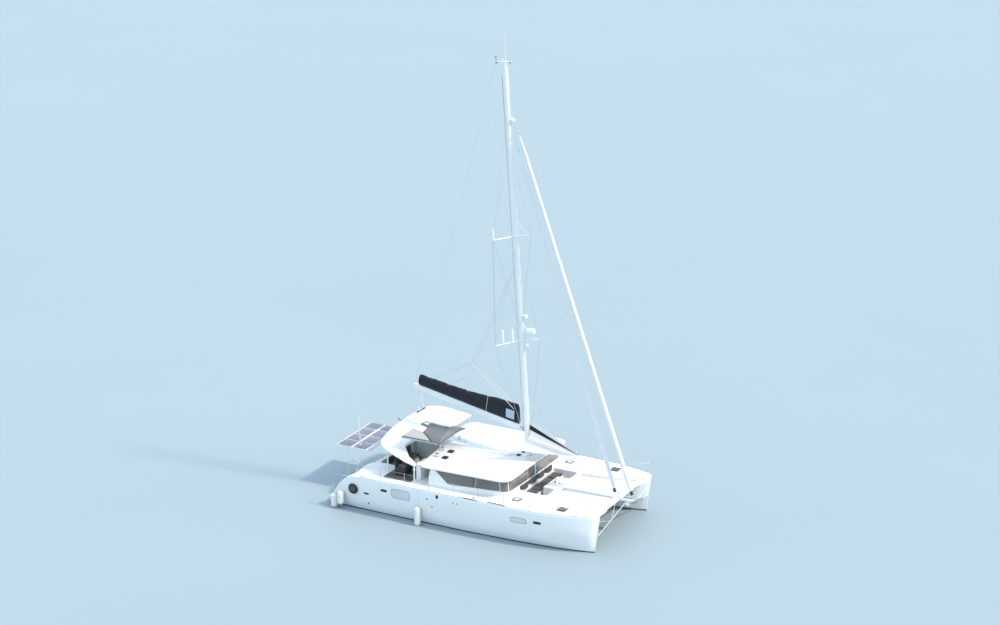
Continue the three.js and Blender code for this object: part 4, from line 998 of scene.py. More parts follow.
def cushions():
    """The aft cockpit's settee and the forward cockpit's seats, with loose seat and back pads."""
    base = slab(rectangle(-5.1997, -4.6, -1.08, 1.08, 0.06, 5), COCKPIT_FLOOR + GAP, 1.3, 0.02)
    rest = slab(rectangle(-5.1997, -5.13, -1.08, 1.08, 0.03, 5), COCKPIT_FLOOR + 0.1, 1.7, 0.02)
    piece("settee_base", joined([base, rest]), GELCOAT, replaces=["cockpit_settee"])
    for k, y in enumerate((-0.72, 0.0, 0.72)):
        piece(f"settee_pad_{k}", pad((-5.06, y - 0.355, 1.297), (-4.58, y + 0.355, 1.4)), CUSHION,
                        replaces=["cockpit_settee"])
        back = turned(pad((-0.2, -0.355, 0), (0.2, 0.355, 0.08)), about("y", math.pi / 2 - 0.1))
        piece(f"settee_back_{k}", moved(back, (-5.13, y, 1.58)), CUSHION,
                        replaces=["cockpit_settee"])
    bench = slab(rectangle(2.4203, 2.98, -1.66, 1.66, 0.06, 5), WELL_FLOOR + GAP, 1.5, 0.02)
    piece("forward_bench", bench, GELCOAT)
    for k, y in enumerate((-1.24, -0.41, 0.41, 1.24)):
        piece(f"forward_pad_{k}", pad((2.44, y - 0.405, 1.498), (2.97, y + 0.405, 1.6)), CUSHION)
        back = turned(pad((-0.16, -0.4, 0), (0.16, 0.4, 0.08)), about("y", math.pi / 2 - 0.06))
        piece(f"forward_back_{k}", moved(back, (2.342, y, 1.79)), CUSHION)
    # Dark sole panels in both cockpits, the wells and on the side decks under the hardtop; their darkness is painted
    # shade.
    soles = [slab(rectangle(-5.15, -1.8, -1.66, 1.66, 0.1), COCKPIT_FLOOR - 0.001, COCKPIT_FLOOR + 0.012, 0.004),
             slab(rectangle(2.46, 3.08, -1.67, 1.67, 0.06), WELL_FLOOR - 0.001, WELL_FLOOR + 0.012, 0.004),
             *(slab(rectangle(3.0, 3.68, min(s * 0.8, s * 1.66), max(s * 0.8, s * 1.66), 0.1), WELL_FLOOR - 0.001,
                    WELL_FLOOR + 0.014, 0.004) for s in SIDES.values()),
             *(slab(rectangle(-4.1, -2.62, min(s * 1.86, s * 3.3), max(s * 1.86, s * 3.3), 0.1), DECK_Z - 0.001,
                    DECK_Z + 0.01, 0.004) for s in SIDES.values())]
    piece("soles_painted_shade", joined(soles), SHADE_SOLE)
    panes = [block((-1.7655, y0, 1.82), (-1.758, y1, 2.46), 0.002, 0.001) for y0, y1 in ((-2.6, -0.86), (0.26, 2.6))]
    piece("aft_bulkhead_panes", joined(panes), TINTED)


# Rig. What is fixed to the mast is made in the mast's own frame and leaned back with it.
RIG_TURN = about("y", -MAST_RAKE)
SPREADERS = {"lower": (5.6, 0.76, 1.2, 0.93, 0.11), "upper": (10.56, 0.62, 1.0, 0.8, 0.09)}
HOUNDS = 16.15
CHAINPLATE = (0.95, 3.65, DECK_Z + 0.001)


def rigged(part):
    return moved(turned(part, RIG_TURN), MAST_FOOT)


def on_rig(x, y, z):
    return RIG_TURN @ np.array([x, y, z]) + MAST_FOOT


def oval(grow=0.0, count=48):
    t = np.linspace(0, 2 * np.pi, count, endpoint=False)
    return np.column_stack([(MAST_HALF[0] + grow) * np.cos(t), (MAST_HALF[1] + grow) * np.sin(t)])


def mast():
    """An oval spar with a sail track down its aft side, and its step."""
    section = oval()
    aft = np.exp(-(section[:, 1] / 0.018) ** 2) * (section[:, 0] < 0)
    section = section + np.column_stack([aft * 0.012, 0 * aft])
    rows = [np.column_stack([section * s, np.full(len(section), z)])
            for z, s in [(0.0123, 1), (4, 1), (8, 1), (12, 1), (16, 1), (17.4, 0.96), (MAST_LENGTH, 0.88)]]
    piece("mast_skin", rigged(skin(rows)), ALLOY, replaces=["mast"])
    piece("mast_track", rigged(block((-0.152, -0.016, 1.3), (-0.141, 0.016, 17.6), 0.004, 0.002)), BARE)
    step = slab(oval(0.045), -0.088, 0.011, 0.012)
    piece("mast_step_skin", moved(step, MAST_FOOT), ALLOY, replaces=["mast_step"])


def strut(end, root=0.042, tip=0.03, count=20):
    """A spreader arm: an oval tube that thins outwards, with a round cap."""
    end = np.asarray(end, float)
    t = np.concatenate([np.linspace(0, 1, 9), [1.006, 1.01]])
    size = np.concatenate([np.linspace(root, tip, 9), [tip * 0.8, tip * 0.35]])
    length = np.linalg.norm(end)
    ahead = end / length
    side = np.cross([0, 0, 1], ahead)
    side /= np.linalg.norm(side)
    up = np.cross(ahead, side)
    a = np.linspace(0, 2 * np.pi, count, endpoint=False)
    ring = np.cos(a)[:, None] * side + 0.62 * np.sin(a)[:, None] * up
    return outward(*skin(end * t[:, None, None] + size[:, None, None] * ring))


# Columns: x, y, foot, head, radius, sides.
SPREADER_LAMPS = [(-0.52, -0.86, 5.64, 6.28, 0.045, 14), (-0.2, -0.5, 5.66, 6.24, 0.045, 14),
                  (-0.6, -1.0, 10.6, 11.1, 0.03, 12)]


def spreaders():
    """At each level a collar round the mast, two arms swept aft and one ahead, and white lamps on the arms."""
    for level, (up, back, out, ahead, lift) in SPREADERS.items():
        arms = [strut((-back, s * out, 0)) for s in (-1, 1)] + [strut((ahead, 0, lift), 0.05, 0.032)]
        collar = slab(oval(0.022), -0.05, 0.05, 0.012)
        piece(f"spreader_arms_{level}", rigged(moved(joined([collar, *arms]), (0, 0, up))), ALLOY,
              replaces=[f"spreaders_{level}"])
    lamps = [stick((x, y, z0), (x, y, z1), radius, sides=sides) for x, y, z0, z1, radius, sides in SPREADER_LAMPS]
    piece("spreader_lamps", rigged(joined(lamps)), PLASTIC)


def masthead():
    """Crane with two sheaves, mast light, wind sensor arm and a whip antenna."""
    cap = slab(oval(0.006), GAP, 0.05, 0.012)
    crane = block((-0.48, -0.035, 0.005), (0.33, 0.035, 0.05), 0.02, 0.008)
    sensor = [stick((-0.43, 0, 0.02), (-0.43, 0, 0.26), 0.012),
              stick((-0.43, -0.06, 0.25), (-0.43, 0.06, 0.25), 0.02, 0.012)]
    sheave = turned(lathe([(AXIS, -0.02), (0.05, -0.02), (0.044, 0), (0.05, 0.02), (AXIS, 0.02)], 20),
                    about("x", math.pi / 2))
    sheaves = [moved(sheave, (x, 0, 0.005)) for x in (-0.41, 0.27)]
    lamp = moved(lathe([(AXIS, 0), (0.035, 0), (0.04, 0.03), (0.04, 0.09), (0.02, 0.11), (AXIS, 0.112)], 16),
                 (-0.1, 0, 0.05))
    shift = (0, 0, MAST_LENGTH)
    piece("masthead_cap", rigged(moved(joined([cap, crane, lamp]), shift)), ALLOY, replaces=["masthead_crane"])
    piece("masthead_sensor", rigged(moved(joined([*sensor, *sheaves]), shift)), BLACK)
    whip = [stick((0.06, 0, 0.03), (0.06, 0, 0.5), 0.018, 0.014), stick((0.06, 0, 0.5), (0.06, 0, 1.25), 0.009, 0.004)]
    piece("masthead_whip", rigged(moved(joined(whip), shift)), PLASTIC)


def radar():
    """A round dome on a bracket ahead of the mast, with a reflector over it and a deck light under it."""
    dome = lathe([(AXIS, 0.0), (0.2, 0.0), (0.232, 0.012), (0.24, 0.04), (0.24, 0.1), (0.232, 0.15),
                  (0.2, 0.2), (0.14, 0.228), (0.07, 0.238), (AXIS, 0.24)], 40)
    bracket = block((-0.33, -0.06, -0.04), (0.0, 0.06, 0.004), 0.015, 0.006)
    at = (MAST_HALF[0] + 0.3304, 0, 5.95)
    piece("radar_shell", rigged(moved(joined([dome, bracket]), at)), PLASTIC, replaces=["radar_dome"])
    reflector = lathe([(AXIS, 0), (0.05, 0.02), (0.11, 0.06), (0.125, 0.12), (0.11, 0.18), (0.05, 0.22),
                       (AXIS, 0.24)], 24)
    lamp = lathe([(AXIS, -0.1), (0.09, -0.09), (0.11, 0.0), (0.08, 0.05), (0.03, 0.08), (AXIS, 0.08)], 24)
    fixed = [moved(reflector, (MAST_HALF[0] + 0.125, 0, 6.62)), moved(lamp, (MAST_HALF[0] + 0.105, 0, 5.36)),
             moved(lamp, (MAST_HALF[0] + 0.09, 0, 15.95))]
    piece("mast_lamps", rigged(joined(fixed)), PLASTIC)


# Columns: name, foot of the stay, height of its head on the mast, radius of the roll.
HEADSAILS = [("inner", (6.52, 0, 1.6), 15.7, 0.1), ("outer", (7.4, 0, 1.6), 16.6, 0.105)]
SEAM_CLIMB = 1.3


def headsails():
    """Furled sails: rolls round their stays whose wound edge stands out as a spiral, thinning to the top.

    Radius = roll(t) (0.95 + 0.1 s cubed + a ripple). s grows from 0 to 1 round the roll and drops back at the seam.
    """
    for name, foot, up, radius in HEADSAILS:
        foot = np.array(foot)
        top = on_rig(MAST_HALF[0] + 0.0096, 0, up)
        length = np.linalg.norm(top - foot)
        axis = (top - foot) / length
        side = np.cross([0, 1, 0], axis)
        side /= np.linalg.norm(side)
        across = np.cross(axis, side)
        t = np.linspace(0.026, 0.925, 260)
        full = radius * np.interp(t, [0.026, 0.034, 0.05, 0.1, 0.6, 0.88, 0.925],
                                  [0.35, 0.8, 0.97, 1, 0.9, 0.68, 0.25])
        a = np.linspace(0, 2 * np.pi, 28, endpoint=False)
        turn = (a[None] / (2 * np.pi) + (t * length / SEAM_CLIMB)[:, None]) % 1.0
        lump = 0.02 * np.sin(t * 190)[:, None] * np.sin(a * 2 + 1)[None]
        size = full[:, None] * (0.95 + 0.1 * turn**3 + lump)
        ring = np.cos(a)[None, :, None] * side + np.sin(a)[None, :, None] * across
        rows = foot + t[:, None, None] * (top - foot) + size[..., None] * ring
        sail = piece(f"headsail_roll_{name}", outward(*skin(rows)), SAILCLOTH, crease=50,
                     replaces=[f"headsail_{name}"])
        basis = np.array([side, across, axis]).T
        drum = lathe([(0.012, 0.0), (0.07, 0.005), (0.095, 0.02), (0.095, 0.035), (0.06, 0.045), (0.06, 0.13),
                      (0.095, 0.14), (0.095, 0.155), (0.05, 0.17), (0.03, 0.2), (0.012, 0.21)], 28)
        drum = moved(turned(drum, basis), foot + 0.0165 * (top - foot))
        piece(f"furler_drum_{name}", drum, BLACK)
        swivel = moved(turned(lathe([(0.01, 0), (0.03, 0.01), (0.035, 0.08), (0.03, 0.16), (0.01, 0.17)], 16), basis),
                       foot + 0.93 * (top - foot))
        wire = [stick(foot + 0.001 * (top - foot), foot + 0.03 * (top - foot), 0.009),
                stick(foot + 0.92 * (top - foot), top, 0.009)]
        piece(f"forestay_{name}", joined([*wire, swivel]), WIRE)


BOOM_PIVOT = on_rig(-0.25, 0, 1.3)
BOOM_TURN = about("z", -BOOM_SWING) @ about("y", BOOM_RISE)


def on_boom(part):
    return moved(turned(part, BOOM_TURN), BOOM_PIVOT)


def boom():
    """A squared oval section with tapered ends, its tongue, and the gooseneck's lugs and pin."""
    a = np.linspace(0, 2 * np.pi, 36, endpoint=False)
    c, s = np.cos(a), np.sin(a)
    section = np.column_stack([0.095 * np.sign(c) * np.abs(c) ** 0.6, 0.14 * np.sign(s) * np.abs(s) ** 0.6])
    rows = [np.column_stack([np.full(36, x), section * k]) for x, k in (
        (-0.13, 0.86), (-0.16, 0.9), (-0.6, 1), (-3, 1), (-5.5, 0.98), (-7.03, 0.92), (-7.08, 0.88), (-7.1, 0.8))]
    spar = outward(*skin(rows))
    piece("boom_skin", on_boom(spar), ALLOY, "boom", replaces=["boom"])
    tongue = [block((-0.2, -0.028, -0.048), (-0.018, 0.028, 0.048), 0.01, 0.004),
              lathe([(0.017, -0.046), (0.038, -0.046), (0.038, 0.046), (0.017, 0.046)], 20)]
    piece("boom_tongue", moved(turned(joined(tongue), about("z", -BOOM_SWING)), BOOM_PIVOT), BARE, "boom")
    lugs = [block((-0.04, -0.045, z - 0.01), (0.2, 0.045, z + 0.01), 0.02, 0.004) for z in (-0.07, 0.07)]
    pin = lathe([(AXIS, -0.088), (0.022, -0.088), (0.022, -0.081), (0.0155, -0.08), (0.0155, 0.08),
                 (0.022, 0.081), (0.022, 0.088), (AXIS, 0.088)], 20)
    cheek = block((0.05, -0.06, -0.13), (0.13, 0.06, 0.13), 0.02, 0.01)
    piece("gooseneck_skin", moved(joined([*lugs, pin, cheek]), BOOM_PIVOT), BARE, replaces=["gooseneck"])


BAG = {"fore": -0.33, "aft": -6.75, "half": 0.165, "base": 0.1403}
# Places along the boom from the aft end, and the bag's height over its foot there.
BAG_PLACES, BAG_HEIGHTS = zip((-6.75, 0.49), (-6.72, 0.535), (-5.5, 0.57), (-4.2, 0.61), (-3.0, 0.695), (-1.83, 0.84),
                              (-1.0, 0.92), (-0.36, 0.945), (-0.33, 0.9))


def sail_bag():
    """The sail's bag on the boom: it sags between the lazy jacks and bulges where the folds lie.

    Section: half breadth = half (sin a)^0.75, less towards the top, and height = high (1 - cos a)/2, round the bag.
    """
    b = BAG
    t = np.linspace(0, 1, 170)
    t[1], t[-2] = 0.004, 0.996
    x = b["fore"] + t * (b["aft"] - b["fore"])
    high = np.interp(x, BAG_PLACES, BAG_HEIGHTS)
    high = high * (1 - 0.025 * np.sin(t * np.pi * 5) ** 2) + 0.006 * np.sin(t * 61) + 0.004 * np.sin(t * 143 + 1)
    half = b["half"] * np.interp(t, [0, 0.004, 0.1, 0.3, 0.95, 0.996, 1], [0.42, 0.62, 0.84, 1, 0.9, 0.85, 0.6])
    a = np.linspace(0, 2 * np.pi, 48, endpoint=False)
    u = -np.sin(a)
    v = (1 - np.cos(a)) / 2
    wide = np.sign(u) * np.abs(u) ** 0.75 * (1 - 0.32 * v**3)
    folds = 1 + 0.035 * np.sin(t[:, None] * 95 + 6 * v[None]) * np.sin(v[None] * np.pi)
    rows = np.stack([np.broadcast_to(x[:, None], (len(t), len(a))), half[:, None] * wide[None] * folds,
                     b["base"] + high[:, None] * v[None]], axis=-1)
    bag = piece("sail_bag_shell", on_boom(outward(*skin(rows))), NAVY, "boom", replaces=["sail_bag"], crease=60)
    seams = [on_boom(bar(rows[int(k * 169), 4:45], 0.006, 6)) for k in (0.13, 0.31, 0.5, 0.68, 0.86)]
    seams.append(on_boom(bar(rows[4:-4, 24] + [0, 0, 0.004], 0.009, 6)))
    piece("sail_bag_seams", joined(seams), BLACK, "boom")

    # The sail's folded front edge stands between the bag and the mast, narrower to the top.
    lap = np.linspace(0, 2 * np.pi, 28, endpoint=False)
    front = []
    for f in np.linspace(0, 1, 60):
        fold = 1 + 0.05 * math.sin(f * 120)
        back, fore, wide = -0.36, -0.165 - 0.105 * f, (0.08 - 0.045 * f) * fold
        cap = min(1, 4 * f + 0.4, 8 * (1 - f) + 0.3)
        front.append(np.column_stack([
            (back + fore) / 2 + (fore - back) / 2 * np.sign(np.cos(lap)) * np.abs(np.cos(lap)) ** 0.6 * cap,
            wide * cap * np.sign(np.sin(lap)) * np.abs(np.sin(lap)) ** 0.7, np.full(28, b["base"] + 0.004 + 0.86 * f)]))
    piece("sail_luff_stack", on_boom(outward(*skin(front))), SAIL_STACK, "boom", crease=60)
    px, pz = np.meshgrid(np.linspace(-0.98, -0.48, 8), np.linspace(0.28, 0.72, 8), indexing="ij")
    share = (pz - b["base"]) / np.interp(px, BAG_PLACES, BAG_HEIGHTS)
    wide = (2 * np.sqrt(share * (1 - share))) ** 0.75 * (1 - 0.32 * share**3)
    grid = np.dstack([px, -0.004 - np.interp(px, x[::-1], half[::-1]) * wide, pz]) @ BOOM_TURN.T + BOOM_PIVOT
    cloth_piece("sail_bag_patch", grid, PATCH_BLUE, 0.004, "boom", down=False)


AWNING = {"ridge": (1.975, 0, 4.68), "nose": (4.6, 0, 3.3), "wing": (0.72, 1.45, 3.62)}


def awning():
    """One sheet over a ridge from the mast to the nose, with a wing to each side.

    A smooth line runs from wing tip over the ridge to the other tip, and straight rays join it to the nose. Each ray
    sags by a parabola that deepens with the square of its distance from the ridge, and a slow ripple crosses the rays.
    """
    nose = np.array(AWNING["nose"])
    half = smooth([AWNING["ridge"], (1.985, 0.05, 4.3), (2.03, 0.17, 3.9), (1.88, 0.45, 3.72), (1.36, 0.95, 3.65),
                   AWNING["wing"]], 7)
    line = np.vstack([half[::-1], half[1:] * [1, -1, 1]])
    v = np.concatenate([np.linspace(0, 0.9, 34), np.linspace(0.92, 0.985, 6)])[:, None, None]
    grid = line * (1 - v) + nose * v
    reach = np.abs(np.linspace(-1, 1, len(line)))[None, :, None]
    grid[..., 2] -= (0.4 * v * (1 - v) * reach**2)[..., 0]
    grid[..., 2] += (0.006 * np.sin(reach * 30) * v * (1 - v) * 4)[..., 0]
    cloth_piece("awning_cloth", grid, AWNING_WHITE, 0.004, replaces=["awning"])
    out = normals_of(grid)
    out *= np.sign(out[..., 2].mean())
    middle = len(line) // 2
    for side, columns in (("starboard", range(middle + 5, middle + 10)), ("port", range(middle - 9, middle - 4))):
        stripe = grid[:, list(columns)] + 0.007 * out[:, list(columns)]
        cloth_piece(f"awning_stripe_{side}", stripe, NAVY, 0.003)


# Rigging: straight wires and lines as thin bars, some with fittings at their ends.
WIRE_R, LINE_R = 0.008, 0.007


def wire(points, radius=WIRE_R, sides=6):
    points = np.asarray(points, float)
    rows = [a + np.linspace(0, 1, 3)[:, None] * (b - a) for a, b in zip(points[:-1], points[1:])]
    return joined([bar(row, radius, sides) for row in rows])


def turnbuckle(foot, head, radius=0.016):
    """A bottlescrew at a wire's foot: thick in the middle, thinner at each end."""
    foot, head = np.asarray(foot, float), np.asarray(head, float)
    way = (head - foot) / np.linalg.norm(head - foot)
    t = np.array([0, 0.05, 0.07, 0.12, 0.3, 0.35, 0.37, 0.42])[:, None]
    return bar(foot + way * t, radius * np.array([0.6, 0.6, 1, 1, 1, 1, 0.6, 0.55]), 10)


def standing_rigging():
    """Cap shrouds over the spreader tips, intermediate wires, two pairs of diamonds and the forward diamond."""
    tips = {level: on_rig(-back - 0.012, out + 0.016, up) for level, (up, back, out, _, _) in SPREADERS.items()}
    ahead = {level: on_rig(fore + 0.008, 0, up + lift) for level, (up, _, _, fore, lift) in SPREADERS.items()}
    mast_side = lambda z, x=-0.02: on_rig(x, MAST_HALF[1] + 0.008, z)
    mast_fore = lambda z: on_rig(MAST_HALF[0] + 0.008, 0, z)
    for side, sign in SIDES.items():
        cap = wire([CHAINPLATE, tips["lower"], tips["upper"], mast_side(HOUNDS)])
        plate = block((CHAINPLATE[0] - 0.05, CHAINPLATE[1] - 0.02, DECK_Z - 0.0005),
                      (CHAINPLATE[0] + 0.05, CHAINPLATE[1] + 0.02, DECK_Z + 0.09), 0.015, 0.005)
        parts = [cap, plate, turnbuckle(np.array(CHAINPLATE) + [0, 0, 0.06], tips["lower"])]
        piece(f"shroud_wire_{side}", sided(joined(parts), sign), WIRE, replaces=[f"cap_shroud_{side}"])
        others = [
            wire([mast_side(0.42, 0.03), tips["lower"] - [0, 0.03, 0.0], mast_side(9.9)]),
            wire([tips["lower"] + [0.03, -0.02, 0], tips["upper"] - [0.0, 0.04, 0.0]]),
            wire([mast_side(6.2, 0.03), tips["upper"] - [0, 0.03, 0.0], mast_side(14.6)]),
            turnbuckle(mast_side(0.42, 0.03), tips["lower"])]
        piece(f"diamond_wires_{side}", sided(joined(others), sign), WIRE)
    forward = [wire([mast_fore(0.5), ahead["lower"], mast_fore(9.6)]),
               wire([mast_fore(6.9), ahead["upper"], mast_fore(14.2)]), turnbuckle(mast_fore(0.5), ahead["lower"])]
    piece("forward_diamond_wires", joined(forward), WIRE)
    braces = [wire([on_rig(out, 0, low), mast_fore(high)], 0.012)
              for out, low, high in ((0.6, 10.63, 11.25), (0.7, 5.68, 6.35))]
    piece("spreader_braces", joined(braces), ALLOY)


def led(name, lines, material, radius, steps=40):
    """Lines between the boat and the boom, as straight bars baked in place on no body."""
    parts = [bar(np.asarray(a) + np.linspace(0, 1, steps)[:, None] * (np.asarray(b) - a), radius, 6) for a, b in lines]
    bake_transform(piece(name, joined(parts), material, body=None))


def running_rigging():
    """Topping lift, lazy jacks, halyards down the mast and the mainsheet's triangle on the hardtop."""
    boom_point = lambda x, y=0.0, z=0.0: BOOM_TURN @ np.array([x, y, z]) + BOOM_PIVOT
    top, end = on_rig(-0.46, 0.0, MAST_LENGTH + 0.02), boom_point(-7.06, 0, 0.11)
    led("topping_lift", [(top, end)], ROPE, LINE_R, 90)
    upper, lower = [], []
    for s in (-1, 1):
        fork, knee = boom_point(-3.3, s * 0.16, 2.3), boom_point(-3.58, s * 0.16, 1.5)
        upper.append((on_rig(-0.1, s * 0.11, 9.1), fork))
        lower += [wire([fork, knee], 0.005), wire([fork, boom_point(-6.2, s * 0.1, 0.66)], 0.005),
                  wire([fork, boom_point(-5.9, s * 0.1, 0.67)], 0.005),
                  wire([knee, boom_point(-4.83, s * 0.11, 0.7)], 0.005),
                  wire([knee, boom_point(-3.46, s * 0.12, 0.76)], 0.005),
                  wire([fork, boom_point(-0.5, s * 0.1, 0.8)], 0.015)]
    top = on_rig(-0.1, 0, 9.1)
    led("lazy_jack_leads", upper, ROPE, 0.009, 50)
    piece("lazy_jacks", joined(lower), ROPE, "boom")
    halyards = [wire([on_rig(-0.18 + 0.02 * k, 0.05 * (k - 1.5), 0.35), on_rig(-0.17, 0.03 * (k - 1.5), 17.9)], 0.006)
                for k in range(4)]
    halyards.append(wire([on_rig(0.16, -0.06, 0.4), on_rig(0.155, -0.03, 17.2)], 0.006))
    piece("halyards", joined(halyards), ROPE)
    hitch = boom_point(-6.7, 0, -0.165)
    feet = [np.array([-5.5, y, HARDTOP_TOP + 0.03]) for y in (2.5, 3.05)]
    led("mainsheet", [(foot + [0, d, 0], hitch + [0, d * 0.4, 0]) for foot in feet for d in (-0.03, 0, 0.03)],
        ROPE, 0.014)
    tackle = [block((-5.54, 2.35, HARDTOP_TOP - 0.003), (-5.46, 3.2, HARDTOP_TOP + 0.02), 0.01, 0.005)]
    tackle += [block((-5.54, y - 0.07, HARDTOP_TOP + 0.015), (-5.46, y + 0.07, HARDTOP_TOP + 0.07), 0.03, 0.01)
               for y in (2.5, 3.05)]
    piece("mainsheet_track", joined(tackle), BLACK)


# Fore end
BEAM = {"x": 6.6, "z": 1.6, "radius": 0.11}
SPRIT = {"tip": 7.46, "half": 0.075, "low": 1.53, "high": 1.64}


def fore_frame():
    """Crossbeam with a striker over it, a longeron that runs on as the bowsprit, and the bobstays."""
    b, s = BEAM, SPRIT
    beam = bar([(b["x"], y, b["z"]) for y in np.linspace(-2.44, 2.44, 9)], b["radius"], 28)
    deck = slab(rectangle(BRIDGE[1] + GAP, s["tip"], -s["half"], s["half"], 0.02, 4), s["low"], s["high"], 0.02, 4)
    striker = bent([(b["x"], -1.5, b["z"] + 0.06), (b["x"], 0, b["z"] + 0.33), (b["x"], 1.5, b["z"] + 0.06)],
                   0.016, 10, corner=0.05)
    post = block((b["x"] - 0.02, -0.02, b["z"]), (b["x"] + 0.02, 0.02, b["z"] + 0.33), 0.01, 0.005)
    collars = [bar([(b["x"], y - 0.04, b["z"]), (b["x"], y + 0.04, b["z"])], b["radius"] + 0.008, 28)
               for y in (-2.3, -0.12, 0.12, 2.3)]
    piece("beam_frame", joined([beam, deck, striker, post, *collars]), ALLOY, replaces=["crossbeam_frame"])
    cap = block((s["tip"] - 0.12, -0.085, s["low"] - 0.012), (s["tip"] + 0.0, 0.085, s["high"] + 0.012), 0.03, 0.01)
    piece("sprit_cap", cap, STEEL)
    stem, middle, under = (6.9, HULL_Y - 0.03, 0.8), (6.956, 1.53, 1.09), (7.02, 0.05, s["low"] - 0.01)
    stays = [wire([stem, under], 0.02), wire([(6.95, HULL_Y - 0.02, 1.55), middle], 0.012),
             wire([middle, (6.68, 0.5, 1.55)], 0.012)]
    piece("bobstays", joined([sided(joined(stays), sign) for sign in SIDES.values()]), ROPE)
    braces = [sided(bent([(6.93, HULL_Y - 0.02, 1.76), (6.9, 2.0, 1.7), (6.64, 1.1, 1.66)], 0.018, 10), sign)
              for sign in SIDES.values()]
    piece("bow_braces", joined(braces), ALLOY)


def trampolines():
    """Nets laced between the longeron, the deck, the beam and the hulls, sagging a little, over lacing cords."""
    xs = np.linspace(3.99, 6.49, 40)
    rows = eased(HULL_TABLE, xs)
    inner = HULL_Y - rows[:, 1] + 0.02
    v = np.linspace(0, 1, 40)[None]
    u = np.linspace(0, 1, 40)[:, None]
    y = 0.125 + (np.minimum(inner, 2.4)[:, None] - 0.05 - 0.125) * v
    x = np.broadcast_to(xs[:, None], y.shape)
    z = 1.608 - 0.05 * np.sin(np.pi * u) * np.sin(np.pi * v)
    grid = np.stack([x, y, z], axis=-1)
    edge = np.concatenate([grid[:, 0], grid[-1, 1:], grid[-2::-1, -1], grid[0, -2:0:-1]])
    for side, sign in SIDES.items():
        side_grid = grid * [1, sign, 1]
        cloth_piece(f"net_{side}", side_grid, NET, 0.005,
                    replaces=[f"trampoline_{side}"])
        rope_path = smooth(edge[::3] * [1, sign, 1] + [0, 0, 0.004], 3, closed=True)
        lacing = [bar(rope_path, 0.007, 6)]
        for k in range(2, len(edge) - 1, 4):
            p = edge[k] * [1, sign, 1]
            way = p - grid[20, 20] * [1, sign, 1]
            way = np.array([way[0], way[1], 0]) / np.linalg.norm(way[:2])
            lacing.append(stick(p, p + way * 0.05, 0.004, sides=5))
        piece(f"net_lacing_{side}", joined(lacing), ROPE)


def ground_tackle():
    """The windlass on its base and the anchor under the bowsprit with its roller."""
    base = lathe([(AXIS, GAP), (0.12, GAP), (0.12, 0.05), (0.1, 0.07), (AXIS, 0.07)], 28)
    drum = lathe([(AXIS, 0.06), (0.07, 0.06), (0.07, 0.08), (0.05, 0.1), (0.05, 0.14), (0.06, 0.16), (0.055, 0.185),
                  (0.03, 0.19), (AXIS, 0.19)], 28)
    piece("windlass_skin", moved(joined([base, drum]), (3.4, 0, DECK_Z)), STEEL, replaces=["windlass"])
    chain_plate = block((3.5, -0.09, DECK_Z - 0.001), (3.85, 0.09, DECK_Z + 0.012), 0.03, 0.004)
    piece("chain_plate", chain_plate, STEEL)
    shank = slab(np.array([(6.76, -0.014), (7.42, -0.014), (7.42, 0.014), (6.76, 0.014)]), 1.44, 1.5297, 0.006)
    u, v = np.meshgrid(np.linspace(0, 1, 16), np.linspace(-1, 1, 17), indexing="ij")
    half = 0.012 + 0.178 * np.sin(u * np.pi / 2) ** 0.8
    blade = np.stack([7.3 - 0.32 * u + 0.03 * np.abs(v) ** 2, half * v,
                      1.415 - 0.08 * np.sin(u * np.pi) + 0.05 * v**2 * u + 0.02 * u], axis=-1)
    fluke = patch(blade, blade - [0, 0, 0.022])
    neck = block((7.16, -0.014, 1.35), (7.26, 0.014, 1.45), 0.01, 0.004)
    roller = turned(lathe([(AXIS, -0.05), (0.05, -0.05), (0.03, 0), (0.05, 0.05), (AXIS, 0.05)], 20),
                    about("x", math.pi / 2))
    piece("anchor_skin", joined([shank, fluke, neck]), STEEL, replaces=["anchor"])
    piece("bow_roller", moved(roller, (7.2, 0, 1.585)), BLACK)


# Guardrails
STANCHIONS = (-3.9, -2.6, -1.3, 0.0, 1.3, 2.6, 3.9)
RAIL_HEIGHT = 0.62


def deck_edge(x):
    """The line of the stanchions' feet: 60 mm inboard of the sheer, straight between the hull table's rows."""
    keys = HULL_TABLE[:, 0]
    return HULL_Y + np.interp(x, keys, HULL_TABLE[:, 1]) - 0.06, np.interp(x, keys, HULL_TABLE[:, 5])


